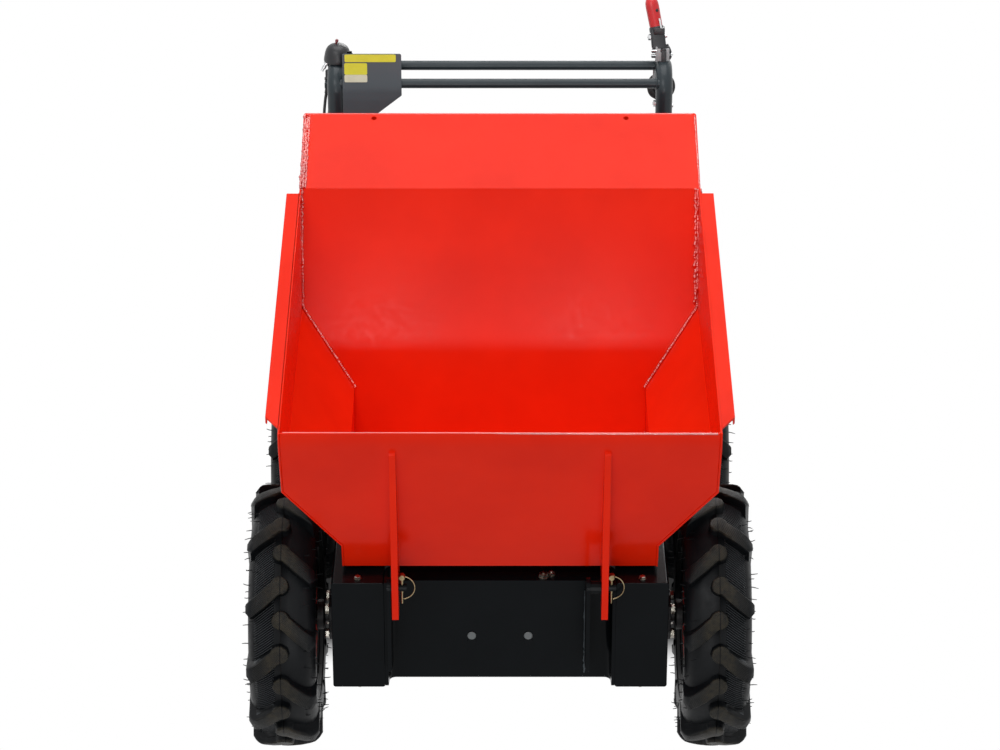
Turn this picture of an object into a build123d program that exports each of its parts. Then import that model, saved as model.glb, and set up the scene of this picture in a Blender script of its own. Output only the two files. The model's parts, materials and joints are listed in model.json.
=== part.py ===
from build123d import *
import math
import os

# Walk-behind four-wheel site dumper with a forward-tipping steel skip.
# Lengths are in millimetres. While modelling, X runs across the machine (+X is the operator's left),
# Y runs from the front axle to the rear, and Z is up from the ground.

# ---- wheels ----
WHEEL_X = 327.0            # wheel's centre plane from the machine's centre plane
WHEELBASE = 530.0
TYRE_R = 202.5             # over the lugs
TYRE_HALF_W = 52.0
LUG_H = 14.5
LUG_ROOT = 10.0            # lug's foot inside the tyre's body
LUG_PAST = 12.0            # lug's reach past the centre line
LUG_BEVEL = 12.0           # lug's cut corner at the shoulder
LUG_FOOT = 18.0            # lug's outer edge reaches this far below the tread
BULGE_R = 150.0            # radius where the side wall is widest
BULGE_IN = 3.5             # side wall inside the lugs' ends
SHOULDER = 14.0            # tread's edge inside the lugs' ends
LUGS_PER_SIDE = 12
WHEEL_SIDES = 20           # flat sides round the tyre and the rim
ROUND_SIDES = 12           # flat sides of smaller round pieces
CORNER_CHORDS = 3          # chords in a rounded corner
RIM_SEAT_R = 101.6         # eight-inch bead seat
RIM_T = 3.0
RIM_HALF_W = 39.0
RIM_FLANGE_H = 10.5
FLANGE_T = 2.4
DISH = 14.0                # disc's slope towards the rim's barrel
DISC_FLAT_R = 54.0
BEAD_HALF_W = 33.0
FIT = 0.3                  # clearance where two round faces of one body meet
HUB_R = 36.0
HUB_T = 9.0
CAP_R = 20.0
CAP_H = 16.0
DISC_X = 16.0              # rim disc's inner face from the wheel's centre plane
SHAFT_R = 12.5
BEARING_R = 40.0
BEARING_T = 10.0
BEARING_GAP = 0.5
END_GAP = 0.3              # axle stub's end from the wall of the case

# ---- side cases and front channel ----
CASE_IN = 173.5            # inner wall of each side case
CASE_OUT = 252.7
CASE_BOTTOM = 149.0
CASE_TOP = 328.0
CASE_FRONT = -130.0
CASE_BACK = 660.0
CASE_EDGE_R = 4.0
WEB_Y = -80.0              # front face of the recessed centre web
WEB_T = 5.0
WEB_BOTTOM = 137.0
WEB_TOP = 305.0
WEB_FLANGE = 28.0          # top flange, turned to the rear
BEND_R = 10.0
PLUG_X = 43.0
PLUG_Z = 200.0
PLUG_R = 7.0
PLUG_T = 1.2
CHEEK_RISE = 15.0          # lower edge of the channel's cheeks rises to the front
PAST = 1.0                 # how far a cutter reaches past what it cuts

# ---- hinge of the skip ----
HINGE_Y = -140.0
HINGE_Z = 326.0
HINGE_PIN_R = 6.0
PIN_GAP = 0.05
ARM_X = 156.0              # middle of each hinge arm
ARM_T = 10.0
SIDE_GAP = 0.3             # between an arm and the collar beside it
RIB_T = 6.0
RIB_NOSE_R = 15.0
RIB_ROOT_Z = 165.0         # rib's lower end on the web
RIB_TOE = 12.0             # rib's toe in front of the pin
RIB_TOE_Z = 188.0
RIB_FRONT_Z = 205.0
COLLAR_R = 10.0
PIN_END = 17.0             # pin's length beyond the middle of its arm
LINCH_X = 10.0             # linch pin from the middle of the arm
LINCH_R = 2.3
LINCH_UP = 17.0
LINCH_DOWN = 34.0
LINCH_HEAD_R = 5.0
LINCH_HEAD_T = 10.0
LINCH_HEAD_UP = 1.0
LINCH_RING_R = 19.0
LINCH_WIRE_R = 1.2
LINCH_RING_TURN = 165.0
RING_CHORDS = 8

# ---- skip ----
SHEET = 3.0
SKIP_HALF_W = 320.5
SKIP_BOTTOM_HALF = 237.0
FLOOR_Z = 336.0
FLOOR_FRONT = -91.0
FLOOR_BACK = 306.0
LIP_Y = -190.0
LIP_Z = 606.0
LIP_BAND = 22.0            # vertical band under the lip
FOLD_Y = 435.0             # fold where the back wall turns into the chute
FOLD_Z = 735.0
CHUTE_LENGTH = 172.0
CHUTE_RISE = 23.6
CHUTE_HOLE_X = 205.5
CHUTE_HOLE_R = 4.25
CHUTE_HOLE_EDGE = 12.0
CHAMFER_SLOPE = 6.7        # the two side folds rise to the rear by this angle
CHAMFER_TOP_Z = 510.5      # side folds' heights above the front axle
CHAMFER_BOTTOM_Z = 392.0
PROUD = 1.5                # side sheets stand proud of the front sheet
RIM_FLANGE_W = 20.0
RIM_LIP = 8.0
RIM_FRONT_OUT = -150.0     # front end of the rim flange at its outer edge
RIM_FRONT_IN = -178.0
ARM_TOP_Z = 575.0
ARM_TAIL_Z = 279.0
ARM_TOP_W = 6.0            # arm's width at its top end
ARM_TOP_BEVEL = 4.0
ARM_FRONT = 15.0           # arm's edges before and behind the pin
ARM_REAR = 20.0
ARM_NECK = 24.0
ARM_FOOT_UP = 3.0          # arm's rear edge meets the wall this far above its foot
ARM_CORNER_R = 12.0
CHUTE_CORNER_R = 5.0
OVERRUN = 30.0             # side sheets are drawn this much longer, then cut

# ---- rests and engine deck ----
REST_T = 8.0
REST_W = 40.0
REST_IN = 20.0             # cross bar's ends inside the cases' outer walls
REST_FROM_BACK = 60.0
PAD_X = 205.0
PAD_W = 40.0
PAD_FRONT = -60.0
PAD_BACK = 0.0
MEMBER_T = 5.0
TRAY_T = 4.0
TRAY_LENGTH = 300.0
DECK_T = 6.0
DECK_FRONT = 392.0
DECK_BACK = 700.0
DECK_HALF_W = 248.0
DECK_CORNER_R = 12.0

# ---- gearbox between the cases ----
GEARBOX_W = 150.0
GEARBOX_FRONT = 410.0
GEARBOX_BACK = 560.0
GEARBOX_TOP = 285.0
GEARBOX_EDGE_R = 22.0
CROSS_SHAFT_Y = 470.0
CROSS_SHAFT_Z = 220.0
CROSS_SHAFT_R = 16.0

# ---- engine; its heights are above the deck ----
ENGINE_X = -10.0           # middle of the crankcase
ENGINE_Y = 525.0
CRANKCASE_W = 190.0
CRANKCASE_L = 200.0
CRANKCASE_H = 150.0
CRANKCASE_EDGE_R = 10.0
FRONT_BEVEL = (30.0, 30.0)
REAR_BEVEL = (40.0, 55.0)
FOOT_H = 12.0
FOOT_W = 46.0
FOOT_SIDE = 10.0
FOOT_REACH = 5.0
SHROUD_SIDE = 25.0         # blower housing between crankcase and tank
SHROUD_FRONT = 40.0
SHROUD_REAR = 50.0
SHROUD_R = 14.0
CRANK_Z = 100.0
CYLINDER_Z = 96.0
CYLINDER_TILT = 25.0
BARREL_W = 86.0
BARREL_H = 80.0
FINS = 7
FIN_W = 120.0
FIN_H = 104.0
FIN_T = 3.0
FIN_START = 4.0
FIN_PITCH = 9.0
HEAD_W = 112.0
HEAD_H = 96.0
HEAD_T = 22.0
VALVE_COVER_W = 84.0
VALVE_COVER_H = 62.0
VALVE_COVER_T = 16.0
VALVE_COVER_R = 14.0
TANK_Z = 235.0
TANK_H = 85.0
TANK_LEFT = 105.0
TANK_RIGHT = 140.0
TANK_FRONT = 90.0
TANK_REAR = 62.0
TANK_R = 30.0
TANK_SEAM_Z = 30.0
TANK_SEAM_T = 4.0
TANK_SEAM_OUT = 4.0
TANK_CAP_X = 60.0
TANK_CAP_Y = 10.0
TANK_CAP_R = 26.0
TANK_CAP_H = 20.0
HEAD_PARTS_AHEAD = 41.0    # front of the muffler and the filter, ahead of the head's two ports
MUFFLER_Z = 210.0
MUFFLER_H = 90.0
MUFFLER_W = 112.0
MUFFLER_L = 90.0
MUFFLER_X = 6.0
MUFFLER_R = 18.0
EXHAUST_X = 35.0
OUTLET_R = 11.0
OUTLET_LENGTH = 14.0
FILTER_Z = 215.0
FILTER_H = 85.0
FILTER_W = 102.0
FILTER_L = 80.0
FILTER_X = 10.0
FILTER_R = 20.0
FILTER_BASE = 14.0
FILTER_STEP = 3.0
KNOB_R = 9.0
KNOB_H = 9.0
INTAKE_X = 45.0
CARB_W = 50.0
CARB_L = 40.0
CARB_FRONT = 14.0          # carburettor's front ahead of its port
CARB_H = 38.0
CARB_R = 8.0
FAN_R = 98.0
FAN_T = 28.0
RECOIL_R = 76.0
RECOIL_T = 60.0
RECOIL_BEVEL = (8.0, 10.0)
RECOIL_UP = 5.0
PULL_R = 8.0
PULL_LENGTH = 45.0
PULL_GUIDE_R = 6.0
GUARD_R = 62.0
GUARD_T = 44.0
GUARD_GAP = 6.0
CRANK_R = 14.0

# ---- handlebar ----
BAR_X = 272.5
BAR_Y = 688.0
BAR_R = 14.0
BAR_FOOT_X = 232.0
BAR_FOOT_Y = 655.0
BAR_FOOT_R = 20.0
BAR_FOOT_H = 8.0
BAR_KNEE_Z = 470.0
BAR_KNEE_H = 80.0          # height over which the handle leans outwards
BAR_KNEE_R = 60.0
HOOK_R = 35.0              # bend at the handle's top, which turns to the rear and down
HOOK_TOP = 840.3           # highest point of its centre line
DIP_BACK = 49.0            # corner where the handle levels out, behind the hook's middle
DIP_DOWN = 16.8            # the same corner below the hook's middle
DIP_R = 40.0
GRIP_REACH = 131.52        # handle's end behind that corner
GRIP_SLOPE = 22.0          # degrees
BEND_STEP = 22.0           # degrees to one chord of a bend
GRIP_OVERHANG = 4.0
GRIP_R = 17.5
GRIP_LENGTH = 128.0
GRIP_FLANGE_R = 24.0
GRIP_FLANGE_T = 5.0
CROSSBAR_R = 8.0
LOW_BAR_Z = 823.0          # cross bar on the uprights
HIGH_BAR_TURN = 15.0       # cross bar on the bends, degrees behind their highest point
PERCH_AHEAD = 27.0         # block on the right handle where the cables start, ahead of the corner
PERCH_L = 23.0
PERCH_UP = 4.5             # block's underside above the corner
PERCH_T = 10.0
PERCH_OUT = 22.0

# ---- controls ----
SADDLE = 3.0               # how deep a clamp sits over the handle's bend
HOUSING_IN = 1.5
HOUSING_BACK = 34.0
HOUSING_R = 22.5
HOUSING_H = 29.0
HOUSING_CURVE = [(0, 1), (0.18, 0.95), (0.5, 0.86), (0.78, 0.66), (0.94, 0.4), (1, 0.15)]   # height, radius
PANEL_T = 2.0
PANEL_TOP = 878.0
PANEL_OUT = -260.5
PANEL_IN = -163.0
PANEL_CUT_Z = 805.0
PANEL_CUT = 42.0
PANEL_BOTTOM = 772.0
PANEL_CORNER_R = 3.0
STRAP_X = (-238.0, -186.0)
STRAP_W = 16.0
STRAP_T = 6.0
LEVER_X = (260.0, 281.5)
LEVER_Y = (712.0, 735.0)
LEVER_FOOT_Z = 874.0
LEVER_BODY_LOW = ((252.0, 277.0), (714.0, 736.0), 872.0)
LEVER_BODY_HIGH = ((249.5, 272.0), (726.0, 745.0), 906.0)
LEVER_EDGE_R = 4.0
LEVER_GRIP_FOOT = (260.0, 735.5, 903.0)
LEVER_GRIP_TOP = (251.5, 749.5, 944.0)
LEVER_GRIP_R = 11.2

# ---- cables, from the perch on the right handle down its upright to the engine ----
CABLE_R = 2.5
CABLE_SIDES = 5
CABLE_STEP = 30.0          # degrees to one chord of a cable's bend
BEND_SHARE = 0.45          # share of a cable's run that the arc at its end may take
THROTTLE_CABLE = [(-290, 762, 793), (-294.5, 757, 768), (-296.5, 747, 738), (-293, 732, 705), (-289, 719, 668),
                  (-288, 712, 628), (-286, 711, 590), (-276, 711, 562), (-250, 707, 543), (-212, 702, 534),
                  (-172, 697, 531), (-133, 690, 530), (-102, 686, 530), (-80, 685, 530)]
STOP_CABLE = [(-283, 749, 793), (-286, 745, 766), (-288.5, 735, 737), (-286, 722, 705), (-281, 713, 668),
              (-279, 711, 628), (-273, 711, 585), (-258, 710, 549), (-232, 704, 525), (-202, 692, 513),
              (-172, 671, 511), (-150, 645, 514), (-132, 619, 520), (-113, 595, 525), (-96, 578, 528),
              (-80, 567, 528)]

# ports in the middle of the head's upper face, and the pipes that stand on them
CYLINDER_SLANT = math.radians(CYLINDER_TILT)
HEAD_MIDDLE = FIN_PITCH * FINS + HEAD_T / 2
PORT_Y = ENGINE_Y + CRANKCASE_L / 2
PORT_Y += HEAD_MIDDLE * math.cos(CYLINDER_SLANT) - HEAD_H / 2 * math.sin(CYLINDER_SLANT)
PORT_UP = HEAD_MIDDLE * math.sin(CYLINDER_SLANT) + HEAD_H / 2 * math.cos(CYLINDER_SLANT)
PIPE_R = HEAD_T / 2 * math.cos(CYLINDER_SLANT) - FIT

# distance from the front axle to the middle of the machine's length
GRIP_SLANT = math.radians(GRIP_SLOPE)
HOOK_MIDDLE = (BAR_Y + HOOK_R, HOOK_TOP - HOOK_R)
DIP_Y = HOOK_MIDDLE[0] + DIP_BACK
DIP_Z = HOOK_MIDDLE[1] - DIP_DOWN
BAR_END_Y = DIP_Y + GRIP_REACH
REAR_END = BAR_END_Y + GRIP_OVERHANG * math.cos(GRIP_SLANT) + GRIP_R * math.sin(GRIP_SLANT)
CENTRE_Y = (REAR_END - TYRE_R) / 2
DECK_Z = CASE_TOP + DECK_T
CRANK = (ENGINE_X, ENGINE_Y, DECK_Z + CRANK_Z)


def prism_x(points, x0, x1):
    """Solid between two x stations from a (y, z) outline."""
    face = make_face(Polyline(*points, close=True))
    return extrude(Plane.YZ.offset(x0) * face, x1 - x0)


def prism_y(points, y0, y1):
    """Solid between two y stations from an (x, z) outline."""
    plane = Plane(origin=(0, y1, 0), x_dir=(1, 0, 0), z_dir=(0, -1, 0))
    return extrude(plane * make_face(Polyline(*points, close=True)), y1 - y0)


def prism_z(points, z0, z1):
    """Solid between two heights from an (x, y) outline."""
    face = make_face(Polyline(*points, close=True))
    return extrude(Plane.XY.offset(z0) * face, z1 - z0)


def sheared(points, y0, y1, slope):
    """Solid from an (x, z) outline at y = 0, swept along the machine while it rises by slope."""
    plane = Plane(origin=(0, y0, slope * y0), x_dir=(1, 0, 0), z_dir=(0, -1, 0))
    face = plane * make_face(Polyline(*points, close=True))
    return extrude(face, amount=y1 - y0, dir=(0, 1, slope))


def block(x, y, z):
    """Box from three (low, high) pairs."""
    middle = [(low + high) / 2 for low, high in (x, y, z)]
    return Pos(*middle) * Box(x[1] - x[0], y[1] - y[0], z[1] - z[0])


def rod(start, end, radius):
    """Round bar between two points."""
    run = Vector(*end) - Vector(*start)
    plane = Plane(origin=start, z_dir=run)
    return extrude(plane * Circle(radius), run.length)


def bar(start, end, radius):
    """Bar between two points with ROUND_SIDES flat sides, for round pieces that turn in nothing."""
    run = Vector(*end) - Vector(*start)
    plane = Plane(origin=start, z_dir=run)
    return extrude(plane * RegularPolygon(radius, ROUND_SIDES), run.length)


def corner_arc(before, corner, after, bend, step):
    """Points of the arc that rounds one corner of a path, about step degrees apart."""
    run, leave = (corner - before).normalized(), (after - corner).normalized()
    turn = math.radians(run.get_angle(leave))
    side = (leave - run * math.cos(turn)).normalized()
    start = corner - run * (bend * math.tan(turn / 2))
    chords = max(1, round(math.degrees(turn) / step))
    angles = [turn * i / chords for i in range(chords + 1)]
    return [start + run * (bend * math.sin(angle)) + side * (bend * (1 - math.cos(angle))) for angle in angles]


def bent_line(points, bends, step):
    """Path with each inner corner rounded to its bend radius by short chords."""
    corners = [Vector(*point) for point in points]
    line = [corners[0]]
    for before, corner, after, bend in zip(corners, corners[1:], corners[2:], bends):
        line += corner_arc(before, corner, after, bend, step)
    return line + [corners[-1]]


def bent_bar(line, radius):
    """Upright bar with ROUND_SIDES flat sides along a path of straight runs, mitred where they meet."""
    start = Plane(origin=line[0], x_dir=(1, 0, 0), z_dir=(0, 0, 1))
    path = Polyline(*[tuple(point) for point in line])
    return sweep(start * RegularPolygon(radius, ROUND_SIDES), path=path, transition=Transition.RIGHT)


def ring(outline, sides):
    """Flat-sided body of revolution about the X axis from a closed outline of (axial, radius) points."""
    turns = [2 * math.pi * (i + 0.5) / sides for i in range(sides + 1)]
    around = [(math.cos(turn), math.sin(turn)) for turn in turns]
    faces = []
    for (x0, r0), (x1, r1) in zip(outline, outline[1:] + outline[:1]):
        if r0 == 0 or r1 == 0:
            rim = max(r0, r1)
            if x0 == x1:
                faces.append(Face(Wire.make_polygon([(x0, rim * y, rim * z) for y, z in around[1:]])))
            continue
        for (y0, z0), (y1, z1) in zip(around, around[1:]):
            faces.append(Face(Wire.make_polygon([(x0, r0 * y0, r0 * z0), (x1, r1 * y0, r1 * z0),
                                                 (x1, r1 * y1, r1 * z1), (x0, r0 * y1, r0 * z1)])))
    return Solid(Shell(faces)).clean()


def rounded(x, y, corner):
    """Outline of a rectangle from two (low, high) pairs, its corners rounded by short chords."""
    middles = [(x[1] - corner, y[1] - corner), (x[0] + corner, y[1] - corner), (x[0] + corner, y[0] + corner),
               (x[1] - corner, y[0] + corner)]
    points = []
    for quarter, (middle_x, middle_y) in enumerate(middles):
        for i in range(CORNER_CHORDS + 1):
            turn = math.pi / 2 * (quarter + i / CORNER_CHORDS)
            points.append((middle_x + corner * math.cos(turn), middle_y + corner * math.sin(turn)))
    return points


def stacked(levels):
    """Solid through (outline, height) levels, each with its sides parallel to those of the next."""
    rings = [[(x, y, z) for x, y in outline] for outline, z in levels]
    faces = [Face(Wire.make_polygon(rings[0])), Face(Wire.make_polygon(rings[-1]))]
    for low, high in zip(rings, rings[1:]):
        for i in range(len(low)):
            faces.append(Face(Wire.make_polygon([low[i - 1], low[i], high[i], high[i - 1]])))
    return Solid(Shell(faces)).clean()


def soft_box(x, y, corner, levels):
    """Box with rounded corners from two (low, high) pairs, set in by each (inset, height) level."""
    return stacked([(rounded((x[0] + inset, x[1] - inset), (y[0] + inset, y[1] - inset), corner - inset), z)
                    for inset, z in levels])


def union(pieces):
    whole = pieces[0]
    for piece in pieces[1:]:
        whole = whole + piece
    return whole


# ---------------------------------------------------------------- wheels
WHEELS = {
    "front_left": (WHEEL_X, 0.0),
    "front_right": (-WHEEL_X, 0.0),
    "rear_left": (WHEEL_X, WHEELBASE),
    "rear_right": (-WHEEL_X, WHEELBASE),
}
TREAD_R = TYRE_R - LUG_H
BEAD_R = RIM_SEAT_R + FIT

# Plan of one lug, bulb first: distance round the tyre against distance from the centre line.
LUG_PLAN = [(28, -5), (28, 7), (4, 28), (-16, 60), (-40, 60), (-15, 22), (8, -9)]
LUG_TOP = math.sqrt(TYRE_R**2 - LUG_PLAN[0][0]**2)
LUG_LEAD = math.degrees(math.asin(LUG_PLAN[0][0] / TYRE_R))


def lug(side):
    """One lug of the tread at the wheel's top, its bulb on the centre line and its foot on the shoulder."""
    plan = Plane.XY * make_face(Polyline(*[(side * w, u) for u, w in LUG_PLAN], close=True))
    root = TREAD_R - LUG_ROOT
    section = [(-LUG_PAST, root), (-LUG_PAST, LUG_TOP), (TYRE_HALF_W - LUG_BEVEL, LUG_TOP),
               (TYRE_HALF_W, LUG_TOP - LUG_BEVEL), (TYRE_HALF_W, TREAD_R - LUG_FOOT),
               (TYRE_HALF_W - LUG_BEVEL, root)]
    return extrude(plan, TYRE_R + PAST) & prism_y([(side * w, r) for w, r in section], -TYRE_R, TYRE_R)


def tyre():
    """Tyre with its twenty-four lugs; the corner of one bulb points straight down."""
    side_x, tread_x = TYRE_HALF_W - BULGE_IN, TYRE_HALF_W - SHOULDER
    carcass = ring([(-BEAD_HALF_W, BEAD_R), (-side_x, BULGE_R), (-tread_x, TREAD_R),
                    (tread_x, TREAD_R), (side_x, BULGE_R), (BEAD_HALF_W, BEAD_R)], WHEEL_SIDES)
    pitch = 360.0 / LUGS_PER_SIDE
    lugs = [Rot(X=180 + LUG_LEAD + (i + (0.5 if side > 0 else 0)) * pitch) * lug(side)
            for side in (-1, 1) for i in range(LUGS_PER_SIDE)]
    return carcass + lugs


def rim(out):
    """Rim with its dished disc, which stands towards the machine."""
    seat, inner, edge = RIM_SEAT_R, RIM_SEAT_R - RIM_T, RIM_HALF_W
    top = seat + RIM_FLANGE_H
    outline = [(-edge, inner), (-edge, top), (-edge + FLANGE_T, seat), (edge - FLANGE_T, seat), (edge, top),
               (edge, inner), (-DISC_X + DISH + RIM_T, inner), (-DISC_X + RIM_T, DISC_FLAT_R),
               (-DISC_X + RIM_T, CAP_R + FIT), (-DISC_X, CAP_R + FIT), (-DISC_X, DISC_FLAT_R),
               (-DISC_X + DISH, inner)]
    return ring([(out * x, r) for x, r in outline], WHEEL_SIDES)


def hub(out):
    """Axle stub from the side case, with the flange and cap that carry the rim."""
    start, flange = CASE_OUT - WHEEL_X + END_GAP, -DISC_X - HUB_T
    outline = [(start, 0), (start, SHAFT_R), (flange, SHAFT_R), (flange, HUB_R), (-DISC_X, HUB_R),
               (-DISC_X, CAP_R), (-DISC_X + CAP_H, CAP_R), (-DISC_X + CAP_H, 0)]
    return ring([(out * x, r) for x, r in outline], ROUND_SIDES)


# ---------------------------------------------------------------- chassis
def side_case(out):
    """Closed chain case that carries the two wheels of one side."""
    low, high = sorted((out * CASE_IN, out * CASE_OUT))
    case = block((low, high), (CASE_FRONT, CASE_BACK), (CASE_BOTTOM, CASE_TOP))
    return fillet(case.edges().filter_by(Axis.Y), CASE_EDGE_R)


def bearing_flanges():
    """Round bearing housings on the outer wall of the cases, round the axle stubs."""
    rings = []
    for x, y in WHEELS.values():
        out = math.copysign(1, x)
        start, end = out * CASE_OUT, out * (CASE_OUT + BEARING_T)
        bore = SHAFT_R + BEARING_GAP
        outline = [(start, bore), (start, BEARING_R), (end, BEARING_R), (end, bore)]
        rings.append(Pos(0, y, TYRE_R) * ring(outline, ROUND_SIDES))
    return Compound(children=rings)


def hinge_rib(x0):
    """Plate from the centre web forwards, with a round nose that carries the hinge pin."""
    front, back = HINGE_Y - RIB_NOSE_R, HINGE_Y + RIB_NOSE_R
    outline = [(WEB_Y, RIB_ROOT_Z), (HINGE_Y - RIB_TOE, RIB_TOE_Z), (front, RIB_FRONT_Z), (front, HINGE_Z),
               (back, HINGE_Z), (WEB_Y, WEB_TOP)]
    plate = prism_x(outline, x0, x0 + RIB_T)
    return plate + rod((x0, HINGE_Y, HINGE_Z), (x0 + RIB_T, HINGE_Y, HINGE_Z), RIB_NOSE_R)


LEFT_RIB_X = 128.5                            # rib beside the +X arm
RIGHT_RIB_X = -CASE_IN + WEB_T                # rib beside the -X arm, against the channel's flange


def front_channel():
    """Folded front plate between the cases, with the two ribs that hold the hinge pins."""
    outer = Plane.XY * make_face(Polyline((CASE_IN, CASE_FRONT), (CASE_IN, WEB_Y + WEB_T),
                                          (-CASE_IN, WEB_Y + WEB_T), (-CASE_IN, CASE_FRONT), close=True))
    inner_x = CASE_IN - WEB_T
    inner = Plane.XY * make_face(Polyline((inner_x, CASE_FRONT - PAST), (inner_x, WEB_Y),
                                          (-inner_x, WEB_Y), (-inner_x, CASE_FRONT - PAST), close=True))
    outer = fillet(outer.vertices().sort_by(Axis.Y)[-2:], BEND_R + WEB_T)
    inner = fillet(inner.vertices().sort_by(Axis.Y)[-2:], BEND_R)
    channel = extrude(Pos(0, 0, WEB_BOTTOM) * (outer - inner), CASE_TOP - WEB_BOTTOM)
    cheek_front, cheek_back = CASE_FRONT - PAST, WEB_Y - BEND_R
    slope = prism_x([(cheek_back, WEB_BOTTOM - PAST), (cheek_front, WEB_BOTTOM - PAST),
                     (cheek_front, WEB_BOTTOM + CHEEK_RISE), (cheek_back, WEB_BOTTOM)],
                    -CASE_IN - PAST, CASE_IN + PAST)
    low = CASE_IN - WEB_T - BEND_R
    window = block((-low, low), (WEB_Y - PAST, WEB_Y + WEB_T + PAST), (WEB_TOP, CASE_TOP + PAST))
    flange = block((-low, low), (WEB_Y, WEB_Y + WEB_FLANGE), (WEB_TOP - WEB_T, WEB_TOP))
    plugs = [bar((x, WEB_Y - PLUG_T, PLUG_Z), (x, WEB_Y, PLUG_Z), PLUG_R) for x in (-PLUG_X, PLUG_X)]
    return union([channel - slope - window, flange, hinge_rib(LEFT_RIB_X), hinge_rib(RIGHT_RIB_X)] + plugs)


def hinge_pins():
    """Stub pins welded on the ribs; each carries one arm, held sideways by a collar and a linch pin."""
    pins = []
    for rib_x, arm_x in ((LEFT_RIB_X, ARM_X), (RIGHT_RIB_X, -ARM_X)):
        pin_end = arm_x + ARM_T / 2 + SIDE_GAP
        pin = rod((rib_x + RIB_T, HINGE_Y, HINGE_Z), (pin_end, HINGE_Y, HINGE_Z), HINGE_PIN_R)
        tip = bar((pin_end, HINGE_Y, HINGE_Z), (arm_x + PIN_END, HINGE_Y, HINGE_Z), HINGE_PIN_R)
        collar_end = arm_x - ARM_T / 2 - SIDE_GAP
        collar = bar((rib_x + RIB_T, HINGE_Y, HINGE_Z), (collar_end, HINGE_Y, HINGE_Z), COLLAR_R)
        x = arm_x + LINCH_X
        hole = bar((x, HINGE_Y, HINGE_Z - LINCH_DOWN), (x, HINGE_Y, HINGE_Z + LINCH_UP), LINCH_R + PIN_GAP)
        pins.append(pin + collar + (tip - hole))
    return Compound(children=pins)


def linch_pins():
    """Linch pins through the ends of the hinge pins, each with its sprung ring."""
    pins = []
    for side in (1, -1):
        x = side * ARM_X + LINCH_X
        stem = bar((x, HINGE_Y, HINGE_Z - LINCH_DOWN), (x, HINGE_Y, HINGE_Z + LINCH_UP), LINCH_R)
        head_z, half = HINGE_Z + LINCH_UP + LINCH_HEAD_UP, LINCH_HEAD_T / 2
        head = bar((x, HINGE_Y - half, head_z), (x, HINGE_Y + half, head_z), LINCH_HEAD_R)
        turns = [math.radians(LINCH_RING_TURN * i / RING_CHORDS) for i in range(RING_CHORDS + 1)]
        inner, outer = LINCH_RING_R - LINCH_WIRE_R, LINCH_RING_R + LINCH_WIRE_R
        arc = [(outer, a) for a in turns] + [(inner, a) for a in reversed(turns)]
        wire = prism_y([(x + r * math.sin(a), HINGE_Z + r * math.cos(a)) for r, a in arc],
                       HINGE_Y - LINCH_WIRE_R, HINGE_Y + LINCH_WIRE_R)
        pins.append(union([stem, head, wire]))
    return Compound(children=pins)


def skip_rests():
    """Cross bar and front pads on the cases that the skip's floor lies on."""
    height = (CASE_TOP, CASE_TOP + REST_T)
    front = FLOOR_BACK - REST_FROM_BACK
    beam = block((-CASE_OUT + REST_IN, CASE_OUT - REST_IN), (front, front + REST_W), height)
    pads = [block((side * PAD_X - PAD_W / 2, side * PAD_X + PAD_W / 2), (PAD_FRONT, PAD_BACK), height)
            for side in (-1, 1)]
    return Compound(children=[beam] + pads)


def rear_crossmember():
    """Channel across the rear, and the tray under the gearbox that joins the cases."""
    web = block((-CASE_IN, CASE_IN), (CASE_BACK - MEMBER_T, CASE_BACK), (CASE_BOTTOM, CASE_TOP))
    tray = block((-CASE_IN, CASE_IN), (CASE_BACK - TRAY_LENGTH, CASE_BACK - MEMBER_T),
                 (CASE_BOTTOM, CASE_BOTTOM + TRAY_T))
    return web + tray


def gearbox():
    """Transfer gearbox between the cases, with its cross shafts."""
    body = block((-GEARBOX_W / 2, GEARBOX_W / 2), (GEARBOX_FRONT, GEARBOX_BACK),
                 (CASE_BOTTOM + TRAY_T, GEARBOX_TOP))
    body = fillet(body.edges().filter_by(Axis.X), GEARBOX_EDGE_R)
    y, z = CROSS_SHAFT_Y, CROSS_SHAFT_Z
    return body + bar((-CASE_IN, y, z), (CASE_IN, y, z), CROSS_SHAFT_R)


def engine_deck():
    """Plate on the cases that carries the engine and the handlebar."""
    plate = block((-DECK_HALF_W, DECK_HALF_W), (DECK_FRONT, DECK_BACK), (CASE_TOP, CASE_TOP + DECK_T))
    return fillet(plate.edges().filter_by(Axis.Z), DECK_CORNER_R)


def engine_block():
    """Crankcase on its two feet, with the blower housing that reaches up to the tank."""
    x0, x1 = ENGINE_X - CRANKCASE_W / 2, ENGINE_X + CRANKCASE_W / 2
    y0, y1 = ENGINE_Y - CRANKCASE_L / 2, ENGINE_Y + CRANKCASE_L / 2
    bottom, top = DECK_Z + FOOT_H, DECK_Z + CRANKCASE_H
    outline = [(y0, bottom), (y1, bottom), (y1, top - REAR_BEVEL[1]), (y1 - REAR_BEVEL[0], top),
               (y0 + FRONT_BEVEL[0], top), (y0, top - FRONT_BEVEL[1])]
    body = prism_x(outline, x0, x1)
    body = fillet(body.edges().filter_by(Axis.X), CRANKCASE_EDGE_R)
    feet = [block((x, x + FOOT_W), (y0 - FOOT_REACH, y1 + FOOT_REACH), (DECK_Z, bottom))
            for x in (x0 + FOOT_SIDE, x1 - FOOT_SIDE - FOOT_W)]
    shroud = soft_box((x0 + SHROUD_SIDE, x1 - SHROUD_SIDE), (y0 + SHROUD_FRONT, y1 - SHROUD_REAR), SHROUD_R,
                      [(0, top - PAST), (0, DECK_Z + TANK_Z)])
    return union([body, shroud] + feet)


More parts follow.
